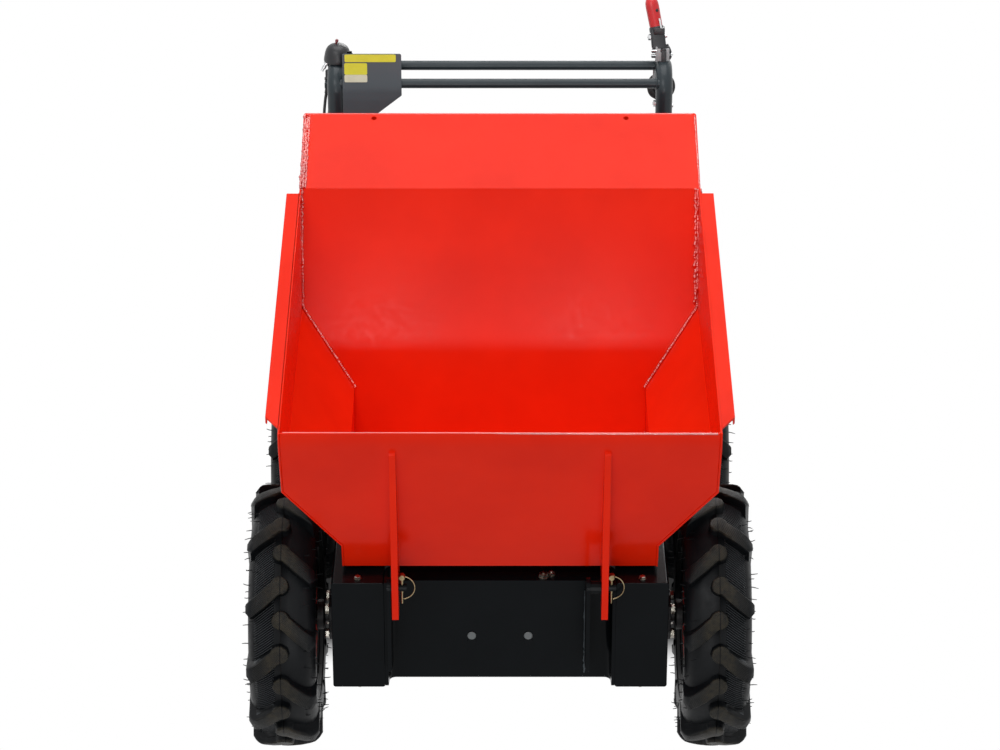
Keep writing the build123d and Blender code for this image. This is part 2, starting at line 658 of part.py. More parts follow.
def engine_cylinder():
    """Finned cylinder, head and valve cover, tilted to the rear."""
    foot = Pos(ENGINE_X, ENGINE_Y + CRANKCASE_L / 2, DECK_Z + CYLINDER_Z) * Rot(X=-90 + CYLINDER_TILT)
    head = Pos(0, 0, HEAD_MIDDLE) * Box(HEAD_W, HEAD_H, HEAD_T)
    fins = [Pos(0, 0, FIN_START + FIN_PITCH * i) * Box(FIN_W, FIN_H, FIN_T) for i in range(FINS)]
    length = FIN_PITCH * FINS
    barrel = Pos(0, 0, length / 2) * Box(BARREL_W, BARREL_H, length)
    start, end = length + HEAD_T, length + HEAD_T + VALVE_COVER_T
    half_w, half_h = VALVE_COVER_W / 2, VALVE_COVER_H / 2
    cover = soft_box((-half_w, half_w), (-half_h, half_h), VALVE_COVER_R,
                     [(0, start - PAST), (0, end - VALVE_COVER_T / 3), (VALVE_COVER_T / 3, end)])
    return foot * union([barrel, head, cover] + fins)


def port_pipe(x, top):
    """Upright pipe from the cylinder head's upper face."""
    foot = DECK_Z + CYLINDER_Z + PORT_UP - PIPE_R * math.tan(CYLINDER_SLANT)
    return bar((x, PORT_Y, foot), (x, PORT_Y, top), PIPE_R) - NODES["engine_cylinder"]


def fuel_tank():
    """Pressed tank of two shells that meet at a seam, with its filler cap."""
    bottom, top, seam = DECK_Z + TANK_Z, DECK_Z + TANK_Z + TANK_H, DECK_Z + TANK_Z + TANK_SEAM_Z
    edge = TANK_R / 2
    body = soft_box((ENGINE_X - TANK_RIGHT, ENGINE_X + TANK_LEFT),
                    (ENGINE_Y - TANK_FRONT, ENGINE_Y + TANK_REAR), TANK_R,
                    [(edge, bottom), (0, bottom + edge), (0, seam), (-TANK_SEAM_OUT, seam),
                     (-TANK_SEAM_OUT, seam + TANK_SEAM_T), (0, seam + TANK_SEAM_T), (0, top - edge),
                     (edge / 3, top - edge / 3), (edge, top)])
    x, y = ENGINE_X - TANK_CAP_X, ENGINE_Y - TANK_CAP_Y
    return body + bar((x, y, top - PAST), (x, y, top + TANK_CAP_H), TANK_CAP_R)


def muffler():
    """Exhaust box over the cylinder head, on its pipe, with the outlet on its side."""
    x0, y0, z0 = ENGINE_X + MUFFLER_X, PORT_Y - HEAD_PARTS_AHEAD, DECK_Z + MUFFLER_Z
    edge = MUFFLER_R / 2
    body = soft_box((x0, x0 + MUFFLER_W), (y0, y0 + MUFFLER_L), MUFFLER_R,
                    [(edge, z0), (0, z0 + edge), (0, z0 + MUFFLER_H - edge), (edge, z0 + MUFFLER_H)])
    pipe = port_pipe(ENGINE_X + EXHAUST_X, z0 + PAST)
    side, z = x0 + MUFFLER_W, z0 + MUFFLER_H / 3
    outlet = bar((side - PAST, PORT_Y, z), (side + OUTLET_LENGTH, PORT_Y, z), OUTLET_R)
    return union([body, pipe, outlet])


def air_filter():
    """Air filter over the carburettor: its base, its cover and the knob that holds the cover."""
    x1, y0, z0 = ENGINE_X - FILTER_X, PORT_Y - HEAD_PARTS_AHEAD, DECK_Z + FILTER_Z
    top, edge = z0 + FILTER_H, FILTER_R / 2
    body = soft_box((x1 - FILTER_W, x1), (y0, y0 + FILTER_L), FILTER_R,
                    [(0, z0), (0, z0 + FILTER_BASE), (FILTER_STEP, z0 + FILTER_BASE), (FILTER_STEP, top - edge),
                     (edge, top)])
    x, y = x1 - FILTER_W / 2, y0 + FILTER_L / 2
    return body + bar((x, y, top - PAST), (x, y, top + KNOB_H), KNOB_R)


def carburettor():
    """Carburettor under the air filter, on the intake pipe of the cylinder head."""
    x, top = ENGINE_X - INTAKE_X, DECK_Z + FILTER_Z
    body = soft_box((x - CARB_W / 2, x + CARB_W / 2), (PORT_Y - CARB_FRONT, PORT_Y - CARB_FRONT + CARB_L), CARB_R,
                    [(0, top - CARB_H), (0, top)])
    return body + port_pipe(x, top - CARB_H + PAST)


def recoil_starter():
    """Fan cover and recoil starter on the crankshaft's free end, with the pull handle."""
    outline = [(0, 0), (0, FAN_R), (-FAN_T + RECOIL_BEVEL[0], FAN_R), (-FAN_T, FAN_R - RECOIL_BEVEL[1]),
               (-FAN_T, RECOIL_R), (-RECOIL_T + RECOIL_BEVEL[0], RECOIL_R),
               (-RECOIL_T, RECOIL_R - RECOIL_BEVEL[1]), (-RECOIL_T, 0)]
    x, y, z = ENGINE_X - CRANKCASE_W / 2, CRANK[1], CRANK[2] + RECOIL_UP
    cover = Pos(x, y, z) * ring(outline, WHEEL_SIDES)
    out = math.sqrt(0.5)
    reach = RECOIL_R + PULL_R + PULL_GUIDE_R
    pull_x, pull_y, pull_z = x - RECOIL_T + PULL_LENGTH / 2, y - reach * out, z + reach * out
    foot = RECOIL_R - PULL_GUIDE_R
    guide = bar((pull_x, y - foot * out, z + foot * out), (pull_x, pull_y, pull_z), PULL_GUIDE_R)
    pull = bar((pull_x - PULL_LENGTH / 2, pull_y, pull_z), (pull_x + PULL_LENGTH / 2, pull_y, pull_z), PULL_R)
    return union([cover, guide, pull])


def belt_guard():
    """Cover of the belt from the crankshaft down to the gearbox's input."""
    x = ENGINE_X + CRANKCASE_W / 2 + GUARD_GAP
    turns = [math.pi * i / ROUND_SIDES for i in range(ROUND_SIDES + 1)]
    outline = [(CRANK[1] - GUARD_R, DECK_Z), (CRANK[1] + GUARD_R, DECK_Z)]
    outline += [(CRANK[1] + GUARD_R * math.cos(turn), CRANK[2] + GUARD_R * math.sin(turn)) for turn in turns]
    cover = prism_x(outline, x, x + GUARD_T)
    return cover + bar((x - GUARD_GAP, CRANK[1], CRANK[2]), (x + PAST, CRANK[1], CRANK[2]), CRANK_R)


NODES = {}
"""Every node's solid, by name."""


def build_chassis():
    for name, out in (("left", 1), ("right", -1)):
        NODES[f"side_case_{name}"] = side_case(out)
    NODES["bearing_flanges"] = bearing_flanges()
    NODES["front_channel"] = front_channel()
    NODES["hinge_pins"] = hinge_pins()
    NODES["linch_pins"] = linch_pins()
    NODES["skip_rests"] = skip_rests()
    NODES["rear_crossmember"] = rear_crossmember()
    NODES["gearbox"] = gearbox()
    NODES["engine_deck"] = engine_deck()
    NODES["engine_block"] = engine_block()
    NODES["engine_cylinder"] = engine_cylinder()
    NODES["fuel_tank"] = fuel_tank()
    NODES["muffler"] = muffler()
    NODES["air_filter"] = air_filter()
    NODES["carburettor"] = carburettor()
    NODES["recoil_starter"] = recoil_starter()
    NODES["belt_guard"] = belt_guard()


# ---------------------------------------------------------------- skip
def wall_y(z):
    """Outer face of the front wall at a height."""
    share = (z - FLOOR_Z) / (LIP_Z - LIP_BAND - FLOOR_Z)
    return FLOOR_FRONT + share * (LIP_Y - FLOOR_FRONT)


RISE = math.radians(CHUTE_RISE)
CHUTE_END = (FOLD_Y + CHUTE_LENGTH * math.cos(RISE), FOLD_Z + CHUTE_LENGTH * math.sin(RISE))
# Outer outline of the folded centre sheet, from the lip round the floor to the chute's end.
CENTRE = [(LIP_Y, LIP_Z), (LIP_Y, LIP_Z - LIP_BAND), (FLOOR_FRONT, FLOOR_Z), (FLOOR_BACK, FLOOR_Z),
          (FOLD_Y, FOLD_Z), CHUTE_END]


def sheet_strip(outline, thickness):
    """Inner corners of an open folded sheet, mitred at the folds and square at its ends."""
    ends = len(outline) - 1
    inner = []
    for i, here in enumerate(outline):
        normals = []
        for a, b in ((i - 1, i), (i, i + 1)):
            if a < 0 or b > ends:
                continue
            run = math.dist(outline[a], outline[b])
            normals.append((-(outline[b][1] - outline[a][1]) / run, (outline[b][0] - outline[a][0]) / run))
        if len(normals) == 1:
            inner.append((here[0] + thickness * normals[0][0], here[1] + thickness * normals[0][1]))
            continue
        (ax, ay), (bx, by) = normals
        share = thickness / (1 + ax * bx + ay * by)
        inner.append((here[0] + share * (ax + bx), here[1] + share * (ay + by)))
    return inner


CENTRE_IN = sheet_strip(CENTRE, SHEET)
RIM_BACK = CENTRE_IN[4]                      # the rim line ends at the fold's inner corner
RIM_SLOPE = (RIM_BACK[1] - LIP_Z) / (RIM_BACK[0] - LIP_Y)
SLOPE = math.tan(math.radians(CHAMFER_SLOPE))
CHAMFER_TURN = math.atan2(CHAMFER_TOP_Z - CHAMFER_BOTTOM_Z, SKIP_HALF_W - SKIP_BOTTOM_HALF)


def half_section(depth):
    """Points of one side's cross-section, from the rim down to the floor, inset by depth."""
    drop = depth * math.tan((math.pi / 2 - CHAMFER_TURN) / 2)
    return [(SKIP_HALF_W - depth, 2 * LIP_Z), (SKIP_HALF_W - depth, CHAMFER_TOP_Z + drop),
            (SKIP_BOTTOM_HALF - depth, CHAMFER_BOTTOM_Z + drop), (SKIP_BOTTOM_HALF - depth, 0.0)]


def inner_prism():
    """Space between the side sheets, which the centre sheets fill."""
    half = half_section(SHEET)
    outline = half + [(-x, z) for x, z in reversed(half)]
    return sheared(outline, LIP_Y - OVERRUN, CHUTE_END[0] + OVERRUN, SLOPE)


def centre_sheet(first):
    """One flat panel of the folded centre sheet, between two folds."""
    quad = [CENTRE[first], CENTRE[first + 1], CENTRE_IN[first + 1], CENTRE_IN[first]]
    return prism_x(quad, -SKIP_HALF_W, SKIP_HALF_W)


def skip_front():
    wall = centre_sheet(1) + centre_sheet(0)
    return wall & inner_prism()


def skip_chute():
    """Upper end of the back wall, folded to the rear over the engine, with two holes near its edge."""
    sheet = centre_sheet(4)
    corners = sheet.edges().filter_by(lambda edge: abs(edge.length - SHEET) < FIT).sort_by(Axis.Y)[-2:]
    sheet = fillet(corners, CHUTE_CORNER_R)
    back = CHUTE_LENGTH - CHUTE_HOLE_EDGE
    y = FOLD_Y + back * math.cos(RISE)
    z = FOLD_Z + back * math.sin(RISE)
    through = Vector(0, -math.sin(RISE), math.cos(RISE)) * 2 * SHEET
    for side in (-1, 1):
        middle = Vector(side * CHUTE_HOLE_X, y, z)
        sheet = sheet - rod(tuple(middle - through), tuple(middle + through), CHUTE_HOLE_R)
    return sheet


def skip_side(out):
    """Side sheet: folded twice, with the flat flange and turned-down edge of the rim."""
    outer, inner = half_section(0), half_section(SHEET)
    band = [(out * x, z) for x, z in outer + inner[::-1]]
    sheet = sheared(band, LIP_Y - OVERRUN, FOLD_Y + OVERRUN, SLOPE)
    proud = [(y - PROUD, z) for y, z in CENTRE[:3]]
    side_view = proud + [(FLOOR_FRONT, FLOOR_Z), CENTRE[3], CENTRE[4], RIM_BACK]
    sheet = sheet & prism_x(side_view, -SKIP_HALF_W - PAST, SKIP_HALF_W + PAST)
    x0, x1 = SKIP_HALF_W, SKIP_HALF_W + RIM_FLANGE_W
    lip = [(x0, 0), (x1, 0), (x1, -RIM_LIP - SHEET), (x1 - SHEET, -RIM_LIP - SHEET), (x1 - SHEET, -SHEET),
           (x0, -SHEET)]
    start = LIP_Z - RIM_SLOPE * LIP_Y
    flange = sheared([(out * x, start + z) for x, z in lip], RIM_FRONT_IN, RIM_BACK[0], RIM_SLOPE)
    cut = prism_z([(out * x0, RIM_FRONT_IN), (out * (x1 + PAST), RIM_FRONT_OUT), (out * (x1 + PAST), LIP_Y),
                   (out * x0, LIP_Y)], FLOOR_Z, FOLD_Z)
    return sheet + (flange - cut)


def hinge_arm(x):
    """Flat bar welded to the front sheet, whose tail hangs on the hinge pin."""
    top_y, foot_z = wall_y(ARM_TOP_Z), FLOOR_Z + ARM_FOOT_UP
    outline = [(top_y, ARM_TOP_Z), (top_y - ARM_TOP_W, ARM_TOP_Z - ARM_TOP_BEVEL),
               (HINGE_Y - ARM_FRONT, ARM_TAIL_Z), (HINGE_Y + ARM_REAR, ARM_TAIL_Z),
               (HINGE_Y + ARM_NECK, HINGE_Z), (wall_y(foot_z), foot_z)]
    plate = prism_x(outline, x - ARM_T / 2, x + ARM_T / 2)
    corner = plate.edges().filter_by(Axis.X).group_by(Axis.Z)[0]
    plate = fillet(corner.sort_by(Axis.Y)[-1], ARM_CORNER_R)
    return plate - rod((x - ARM_T, HINGE_Y, HINGE_Z), (x + ARM_T, HINGE_Y, HINGE_Z), HINGE_PIN_R + PIN_GAP)


def build_skip():
    NODES["skip_front"] = skip_front()
    NODES["skip_floor"] = centre_sheet(2) & inner_prism()
    NODES["skip_back"] = centre_sheet(3) & inner_prism()
    NODES["skip_chute"] = skip_chute()
    for name, out in (("left", 1), ("right", -1)):
        NODES[f"skip_side_{name}"] = skip_side(out)
        NODES[f"hinge_arm_{name}"] = hinge_arm(out * ARM_X)


def build_wheels():
    rubber = tyre()
    for name, (x, y) in WHEELS.items():
        place = Pos(x, y, TYRE_R)
        out = math.copysign(1, x)
        NODES[f"tyre_{name}"] = place * rubber
        NODES[f"rim_{name}"] = place * rim(out)
        NODES[f"hub_{name}"] = place * hub(out)


# ---------------------------------------------------------------- handlebar
HOOK_SLANT = math.atan2(DIP_DOWN, DIP_BACK) + math.asin(HOOK_R / math.hypot(DIP_BACK, DIP_DOWN))
HOOK_CORNER_Z = DIP_Z + (DIP_Y - BAR_Y) * math.tan(HOOK_SLANT)
BAR_END_Z = DIP_Z - (BAR_END_Y - DIP_Y) * math.tan(GRIP_SLANT)
BAR_BENDS = [BAR_KNEE_R, BAR_KNEE_R, HOOK_R, DIP_R]
HIGH_BAR_Y = HOOK_MIDDLE[0] + HOOK_R * math.sin(math.radians(HIGH_BAR_TURN))
HIGH_BAR_Z = HOOK_MIDDLE[1] + HOOK_R * math.cos(math.radians(HIGH_BAR_TURN))


def bar_points(out):
    """Centre line of one handle: up from the deck, out past the wheel, over the hook and back to the grip."""
    return [(out * BAR_FOOT_X, BAR_FOOT_Y, DECK_Z), (out * BAR_FOOT_X, BAR_FOOT_Y, BAR_KNEE_Z - BAR_KNEE_H),
            (out * BAR_X, BAR_Y, BAR_KNEE_Z), (out * BAR_X, BAR_Y, HOOK_CORNER_Z), (out * BAR_X, DIP_Y, DIP_Z),
            (out * BAR_X, BAR_END_Y, BAR_END_Z)]


def bar_passage(out):
    """Square-walled passage that clears the handle's upright and hook."""
    above = BAR_KNEE_Z + BAR_KNEE_R
    line = [(p.Y, p.Z) for p in bent_line(bar_points(out), BAR_BENDS, BEND_STEP) if p.Z > above]
    half = BAR_R + FIT
    outline = sheet_strip(line, half) + sheet_strip(line, -half)[::-1]
    return prism_x(outline, out * BAR_X - half, out * BAR_X + half)


def handlebar():
    """Two bent handles joined by two cross bars, bolted to the deck by round feet."""
    pieces = []
    for out in (-1, 1):
        pieces.append(bent_bar(bent_line(bar_points(out), BAR_BENDS, BEND_STEP), BAR_R))
        foot = (out * BAR_FOOT_X, BAR_FOOT_Y)
        pieces.append(bar((*foot, DECK_Z), (*foot, DECK_Z + BAR_FOOT_H), BAR_FOOT_R))
    for y, z in ((BAR_Y, LOW_BAR_Z), (HIGH_BAR_Y, HIGH_BAR_Z)):
        pieces.append(bar((-BAR_X, y, z), (BAR_X, y, z), CROSSBAR_R))
    front, low = DIP_Y - PERCH_AHEAD, DIP_Z + PERCH_UP
    pieces.append(block((-BAR_X - PERCH_OUT, -BAR_X), (front, front + PERCH_L), (low, low + PERCH_T)))
    return union(pieces)


def hand_grips():
    """Rubber grips over the ends of the handles, each with its flange."""
    run = Vector(0, BAR_END_Y - DIP_Y, BAR_END_Z - DIP_Z).normalized()
    grips = []
    for out in (-1, 1):
        end = Vector(out * BAR_X, BAR_END_Y, BAR_END_Z)
        start = end - run * GRIP_LENGTH
        sleeve = bar(tuple(start), tuple(end + run * GRIP_OVERHANG), GRIP_R)
        flange = bar(tuple(start), tuple(start + run * GRIP_FLANGE_T), GRIP_FLANGE_R)
        grips.append(sleeve + flange - bar(tuple(start - run), tuple(end), BAR_R))
    return Compound(children=grips)


def control_panel():
    """Flat plate in front of the right handle, cut away at its lower inner corner, on two straps."""
    back = BAR_Y - CROSSBAR_R
    outline = [(PANEL_OUT, PANEL_BOTTOM), (PANEL_IN - PANEL_CUT, PANEL_BOTTOM), (PANEL_IN, PANEL_CUT_Z),
               (PANEL_IN, PANEL_TOP), (PANEL_OUT, PANEL_TOP)]
    plate = prism_y(outline, back - PANEL_T, back)
    plate = fillet(plate.edges().filter_by(Axis.Y).group_by(Axis.Z)[-1], PANEL_CORNER_R)
    straps = [block((x - STRAP_W / 2, x + STRAP_W / 2), (back - PANEL_T / 2, HIGH_BAR_Y - CROSSBAR_R),
                    (HIGH_BAR_Z - STRAP_T / 2, HIGH_BAR_Z + STRAP_T / 2)) for x in STRAP_X]
    return union([plate] + straps)


def switch_housing():
    """Domed housing of the throttle on the bend of the right handle."""
    curve = [(HOUSING_H * up, HOUSING_R * out) for up, out in HOUSING_CURVE]
    dome = ring([(0, 0)] + curve + [(HOUSING_H, 0)], WHEEL_SIDES)
    place = Pos(-BAR_X + HOUSING_IN, BAR_Y + HOUSING_BACK, HOOK_TOP + BAR_R - SADDLE)
    return place * Rot(Y=-90) * dome - bar_passage(-1)


def control_lever():
    """Hand lever on the bend of the left handle: bracket, body and grip."""
    bracket = block(LEVER_X, LEVER_Y, (HOOK_TOP + BAR_R - SADDLE, LEVER_FOOT_Z))
    body = stacked([(rounded(x, y, LEVER_EDGE_R), z) for x, y, z in (LEVER_BODY_LOW, LEVER_BODY_HIGH)])
    grip = bar(LEVER_GRIP_FOOT, LEVER_GRIP_TOP, LEVER_GRIP_R)
    return union([bracket - bar_passage(1), body, grip])


def cable(points):
    """Cable along straight runs joined by arcs that are as large as the runs allow."""
    corners = [Vector(*point) for point in points]
    bends = []
    for before, corner, after in zip(corners, corners[1:], corners[2:]):
        run, leave = corner - before, after - corner
        room = BEND_SHARE * min(run.length, leave.length)
        bends.append(room / math.tan(math.radians(run.get_angle(leave)) / 2))
    print(f"cable: smallest bend {min(bends):.0f} mm")
    line = bent_line(points, bends, CABLE_STEP)
    start = Plane(origin=line[0], z_dir=line[1] - line[0])
    path = Polyline(*[tuple(point) for point in line])
    return sweep(start * RegularPolygon(CABLE_R, CABLE_SIDES), path=path, transition=Transition.RIGHT)


def control_cables():
    """Throttle cable to the carburettor and stop cable to the blower housing."""
    return Compound(children=[cable(THROTTLE_CABLE), cable(STOP_CABLE)])


def build_controls():
    NODES["handlebar"] = handlebar()
    NODES["hand_grips"] = hand_grips()
    NODES["control_panel"] = control_panel()
    NODES["switch_housing"] = switch_housing()
    NODES["control_lever"] = control_lever()
    NODES["control_cables"] = control_cables()


if __name__ == "__main__":
    os.makedirs("parts", exist_ok=True)
    build_chassis()
    build_skip()
    build_wheels()
    build_controls()
    for node, solid in NODES.items():
        export_step(Pos(0, -CENTRE_Y, 0) * solid, f"parts/{node}.step")
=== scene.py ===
"""Looks of the walk-behind site dumper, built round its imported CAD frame. Lengths are in metres."""
import json
import math
import random

import bmesh
import bpy
from mathutils import Matrix, Vector


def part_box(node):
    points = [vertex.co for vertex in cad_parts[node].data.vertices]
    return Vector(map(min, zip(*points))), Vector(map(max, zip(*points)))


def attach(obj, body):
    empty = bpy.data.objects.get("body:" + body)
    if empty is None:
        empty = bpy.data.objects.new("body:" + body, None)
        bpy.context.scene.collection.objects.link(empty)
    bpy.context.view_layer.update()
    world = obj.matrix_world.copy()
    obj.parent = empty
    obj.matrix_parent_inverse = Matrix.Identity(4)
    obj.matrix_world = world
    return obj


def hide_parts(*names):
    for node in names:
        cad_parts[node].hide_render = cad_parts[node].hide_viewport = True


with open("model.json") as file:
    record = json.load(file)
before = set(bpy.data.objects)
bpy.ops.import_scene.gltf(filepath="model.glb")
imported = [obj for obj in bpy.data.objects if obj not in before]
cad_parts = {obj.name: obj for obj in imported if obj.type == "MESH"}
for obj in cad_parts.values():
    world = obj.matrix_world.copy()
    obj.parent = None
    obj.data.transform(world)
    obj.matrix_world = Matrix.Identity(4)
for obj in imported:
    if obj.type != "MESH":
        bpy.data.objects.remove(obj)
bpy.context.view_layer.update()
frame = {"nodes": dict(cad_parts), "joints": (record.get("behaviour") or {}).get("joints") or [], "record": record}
NODES = frame["nodes"]
BODY_OF = {node: body for body, group in frame["record"]["behaviour"]["bodies"].items() for node in group}
SLOT_OF = {part["node"]: part["material_slot"] for part in frame["record"]["subparts"]}
JOINTS = {joint["name"]: joint for joint in frame["joints"]}

WHEELS = ["front_left", "front_right", "rear_left", "rear_right"]
DECK_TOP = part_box("engine_deck")[1].z
HINGE = Vector(JOINTS["skip_tip"]["pos_m"])
FRONT_Y = JOINTS["spin_front_left"]["pos_m"][1]
ALONG_X = Matrix.Rotation(math.pi / 2, 4, "Y")


# ---------------- mesh helpers
class Shape:
    """Points and faces of a mesh that is put together from simple forms; a form is (points, faces)."""

    def __init__(self):
        self.points = []
        self.faces = []

    def add(self, form, place=Matrix()):
        points, faces = form
        first = len(self.points)
        self.points += [place @ Vector(p) for p in points]
        flip = place.to_3x3().determinant() < 0
        for face in faces:
            row = [first + i for i in face]
            self.faces.append(row[::-1] if flip else row)
        return self

    def mesh(self, name, sharp=38):
        mesh = bpy.data.meshes.new(name)
        mesh.from_pydata(self.points, [], self.faces)
        mesh.validate()
        return shade(mesh, sharp)

    def piece(self, name, slot, look=None, replaces=(), sharp=38, body="chassis"):
        show(name, self.mesh(name, sharp), body, slot, look, replaces)

    def turned(self, profile, sides, at, axis):
        """Adds a form of revolution that stands at a point, along axis."""
        return self.add(lathe(profile, sides), aim(at, axis))

    def bar(self, *args, **options):
        self.add(tube(*args, **options))

    def block(self, size, radius, at):
        """Adds a block with rounded edges, centred on at."""
        self.add(soft_block(size, radius), Matrix.Translation(at))


def shade(mesh, sharp):
    """Shades a mesh smooth, except over edges that turn by more than sharp degrees."""
    mesh.shade_smooth()
    mesh.set_sharp_from_angle(angle=math.radians(sharp))
    return mesh


def new_object(name, data):
    made = bpy.data.objects.new(name, data)
    bpy.context.scene.collection.objects.link(made)
    return made


def show(name, mesh, body, slot, look=None, replaces=(), at=Vector()):
    """Puts a mesh in the scene as a piece that rides on a body, with a look of its own or its slot's."""
    piece = new_object(name, mesh)
    piece.location = at
    mesh.materials.clear()
    mesh.materials.append(LOOKS[look or slot])
    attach(piece, body)
    if replaces:
        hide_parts(*replaces)
    return piece


def aim(at, axis, turn=0.0):
    """Matrix that takes the Z axis to axis and the origin to at."""
    turned = Vector(axis).to_track_quat("Z", "Y").to_matrix().to_4x4()
    return Matrix.Translation(at) @ turned @ Matrix.Rotation(turn, 4, "Z")


def band(a, b, n):
    """Faces between two closed rows of n points that start at a and at b."""
    return [[a + k, a + (k + 1) % n, b + (k + 1) % n, b + k] for k in range(n)]


def lathe(profile, sides):
    """Form of revolution about Z from (radius, height) points; ends on the axis are closed."""
    points, faces, rings = [], [], []
    for radius, height in profile:
        if radius == 0:
            rings.append([len(points)] * sides)
            points.append((0, 0, height))
            continue
        rings.append([len(points) + i for i in range(sides)])
        points += [(radius * math.cos(math.tau * i / sides), radius * math.sin(math.tau * i / sides), height)
                   for i in range(sides)]
    for low, high in zip(rings, rings[1:]):
        for i in range(sides):
            j = (i + 1) % sides
            face = [low[i], low[j], high[j], high[i]]
            face = [p for k, p in enumerate(face) if p != face[k - 1]]
            if len(face) > 2:
                faces.append(face)
    return points, faces


def tube(path, radius, sides, closed=False):
    """Round bar along a path; radius is one number or one for each point."""
    path = [Vector(p) for p in path]
    radii = radius if isinstance(radius, list) else [radius] * len(path)
    count = len(path)
    points, faces = [], []
    side = None
    for i, here in enumerate(path):
        before = path[i - 1] if closed or i > 0 else here
        after = path[(i + 1) % count] if closed or i < count - 1 else here
        run = (after - before).normalized()
        if side is None:
            side = run.orthogonal().normalized()
        side = (side - run * side.dot(run)).normalized()
        up = run.cross(side)
        points += [here + (side * math.cos(a) + up * math.sin(a)) * radii[i]
                   for a in (math.tau * k / sides for k in range(sides))]
    for i in range(count if closed else count - 1):
        faces += band(i * sides, ((i + 1) % count) * sides, sides)
    if not closed:
        faces += [list(range(sides))[::-1], [(count - 1) * sides + k for k in range(sides)]]
    return points, faces


def rounded_line(corners, bends, step=math.radians(6)):
    """Points along straight runs whose inner corners are rounded to the given radii."""
    corners = [Vector(c) for c in corners]
    line = [corners[0]]
    for before, corner, after, bend in zip(corners, corners[1:], corners[2:], bends):
        run, leave = (corner - before).normalized(), (after - corner).normalized()
        turn = run.angle(leave)
        side = (leave - run * math.cos(turn)).normalized()
        start = corner - run * (bend * math.tan(turn / 2))
        count = max(2, round(turn / step))
        line += [start + run * (bend * math.sin(turn * i / count)) + side * (bend * (1 - math.cos(turn * i / count)))
                 for i in range(count + 1)]
    return line + [corners[-1]]


def spaced(path, step):
    """The same line, with points about step apart."""
    path = [Vector(p) for p in path]
    line = [path[0]]
    for a, b in zip(path, path[1:]):
        count = max(1, round((b - a).length / step))
        line += [a.lerp(b, i / count) for i in range(1, count + 1)]
    return line


def prism(outline, low, high):
    """Solid between two heights from an (x, y) outline that runs anticlockwise."""
    n = len(outline)
    points = [(x, y, low) for x, y in outline] + [(x, y, high) for x, y in outline]
    return points, [list(range(n))[::-1], [n + i for i in range(n)]] + band(0, n, n)


def round_edges(work, edges, radius, steps):
    bmesh.ops.bevel(work, geom=edges, offset=radius, segments=steps, profile=0.5, affect="EDGES", clamp_overlap=True)


def form_of(work):
    """The points and faces of a bmesh, which ends here."""
    points = [v.co.copy() for v in work.verts]
    faces = [[v.index for v in f.verts] for f in work.faces]
    work.free()
    return points, faces


def soft_block(size, radius):
    """Block with rounded edges, centred on the origin."""
    work = bmesh.new()
    bmesh.ops.create_cube(work, size=1)
    bmesh.ops.scale(work, vec=size, verts=work.verts)
    round_edges(work, work.edges[:], radius, 3)
    return form_of(work)


def hex_head(across, height):
    """Hexagon head or nut standing on the origin, its top edge chamfered."""
    r = across / math.sqrt(3)
    return lathe([(0, 0), (r, 0), (r, height * 0.8), (r * 0.84, height), (0, height)], 6)


# Turns of the bolts' heads, drawn in the order in which the bolts are made.
BOLT_TURNS = random.Random(7)


def bolt(shape, at, axis, thread=0.008, stub=0.0):
    """Washer, hexagon head and, for a nut, the thread's end, seated at a point and facing along axis."""
    place = aim(at, axis, turn=BOLT_TURNS.uniform(0, 1))
    washer_r, washer = thread * 1.05, thread * 0.17
    shape.add(lathe([(0, 0), (washer_r, 0), (washer_r, washer), (0, washer)], 20), place)
    shape.add(hex_head(thread * 1.65, thread * 0.66), place @ Matrix.Translation((0, 0, washer)))
    if stub:
        end = thread * 0.8 + stub
        shape.add(lathe([(thread / 2, 0), (thread / 2, end - 0.001), (thread * 0.36, end), (0, end)], 14), place)


RIPPLE_STEPS = 5


def weld(shape, path, width, seed, pitch=0.0036, rough=1.0):
    """Weld bead along a path: a ripple every pitch, each with its own swell and lean."""
    rng = random.Random(seed)
    middle, radii = [], []
    for i, here in enumerate(spaced(path, pitch / RIPPLE_STEPS)):
        step = i % RIPPLE_STEPS
        if step == 0:
            swell = 1 + rough * rng.uniform(-0.2, 0.24)
            lean = Vector([rng.uniform(-1, 1) for _ in range(3)]) * width * 0.16 * rough
        ripple = 0.78 + 0.3 * abs(math.sin(math.pi * (step + 0.5) / RIPPLE_STEPS))
        middle.append(here + lean)
        radii.append(width / 2 * (swell * ripple))
    radii[0] = radii[-1] = width / 6
    shape.bar(middle, radii, 10)


# An edge that turns by more degrees than this is rounded and stays sharp in the shading.
SHARP = 28


def bevelled(node, width, steps=2, look=None):
    """Stands for a CAD node with its own shape, its sharp edges slightly rounded so that they catch the light."""
    work = bmesh.new()
    work.from_mesh(NODES[node].data)
    bmesh.ops.remove_doubles(work, verts=work.verts, dist=2e-6)
    bmesh.ops.dissolve_limit(work, angle_limit=math.radians(0.6), verts=work.verts, edges=work.edges)
    sharp = [e for e in work.edges if len(e.link_faces) == 2 and e.calc_face_angle() > math.radians(SHARP)]
    round_edges(work, sharp, width, steps)
    mesh = bpy.data.meshes.new(node + "_look")
    work.to_mesh(mesh)
    work.free()
    piece = show(node + "_look", shade(mesh, SHARP), BODY_OF[node], SLOT_OF[node], look, [node])
    piece.modifiers.new("normals", "WEIGHTED_NORMAL").keep_sharp = True


def bevelled_nodes(widths, steps=2):
    """Rounds the edges of several CAD nodes, each by its own width."""
    for node, width in widths.items():
        bevelled(node, width, steps)


# ---------------- materials
LOOKS = {}


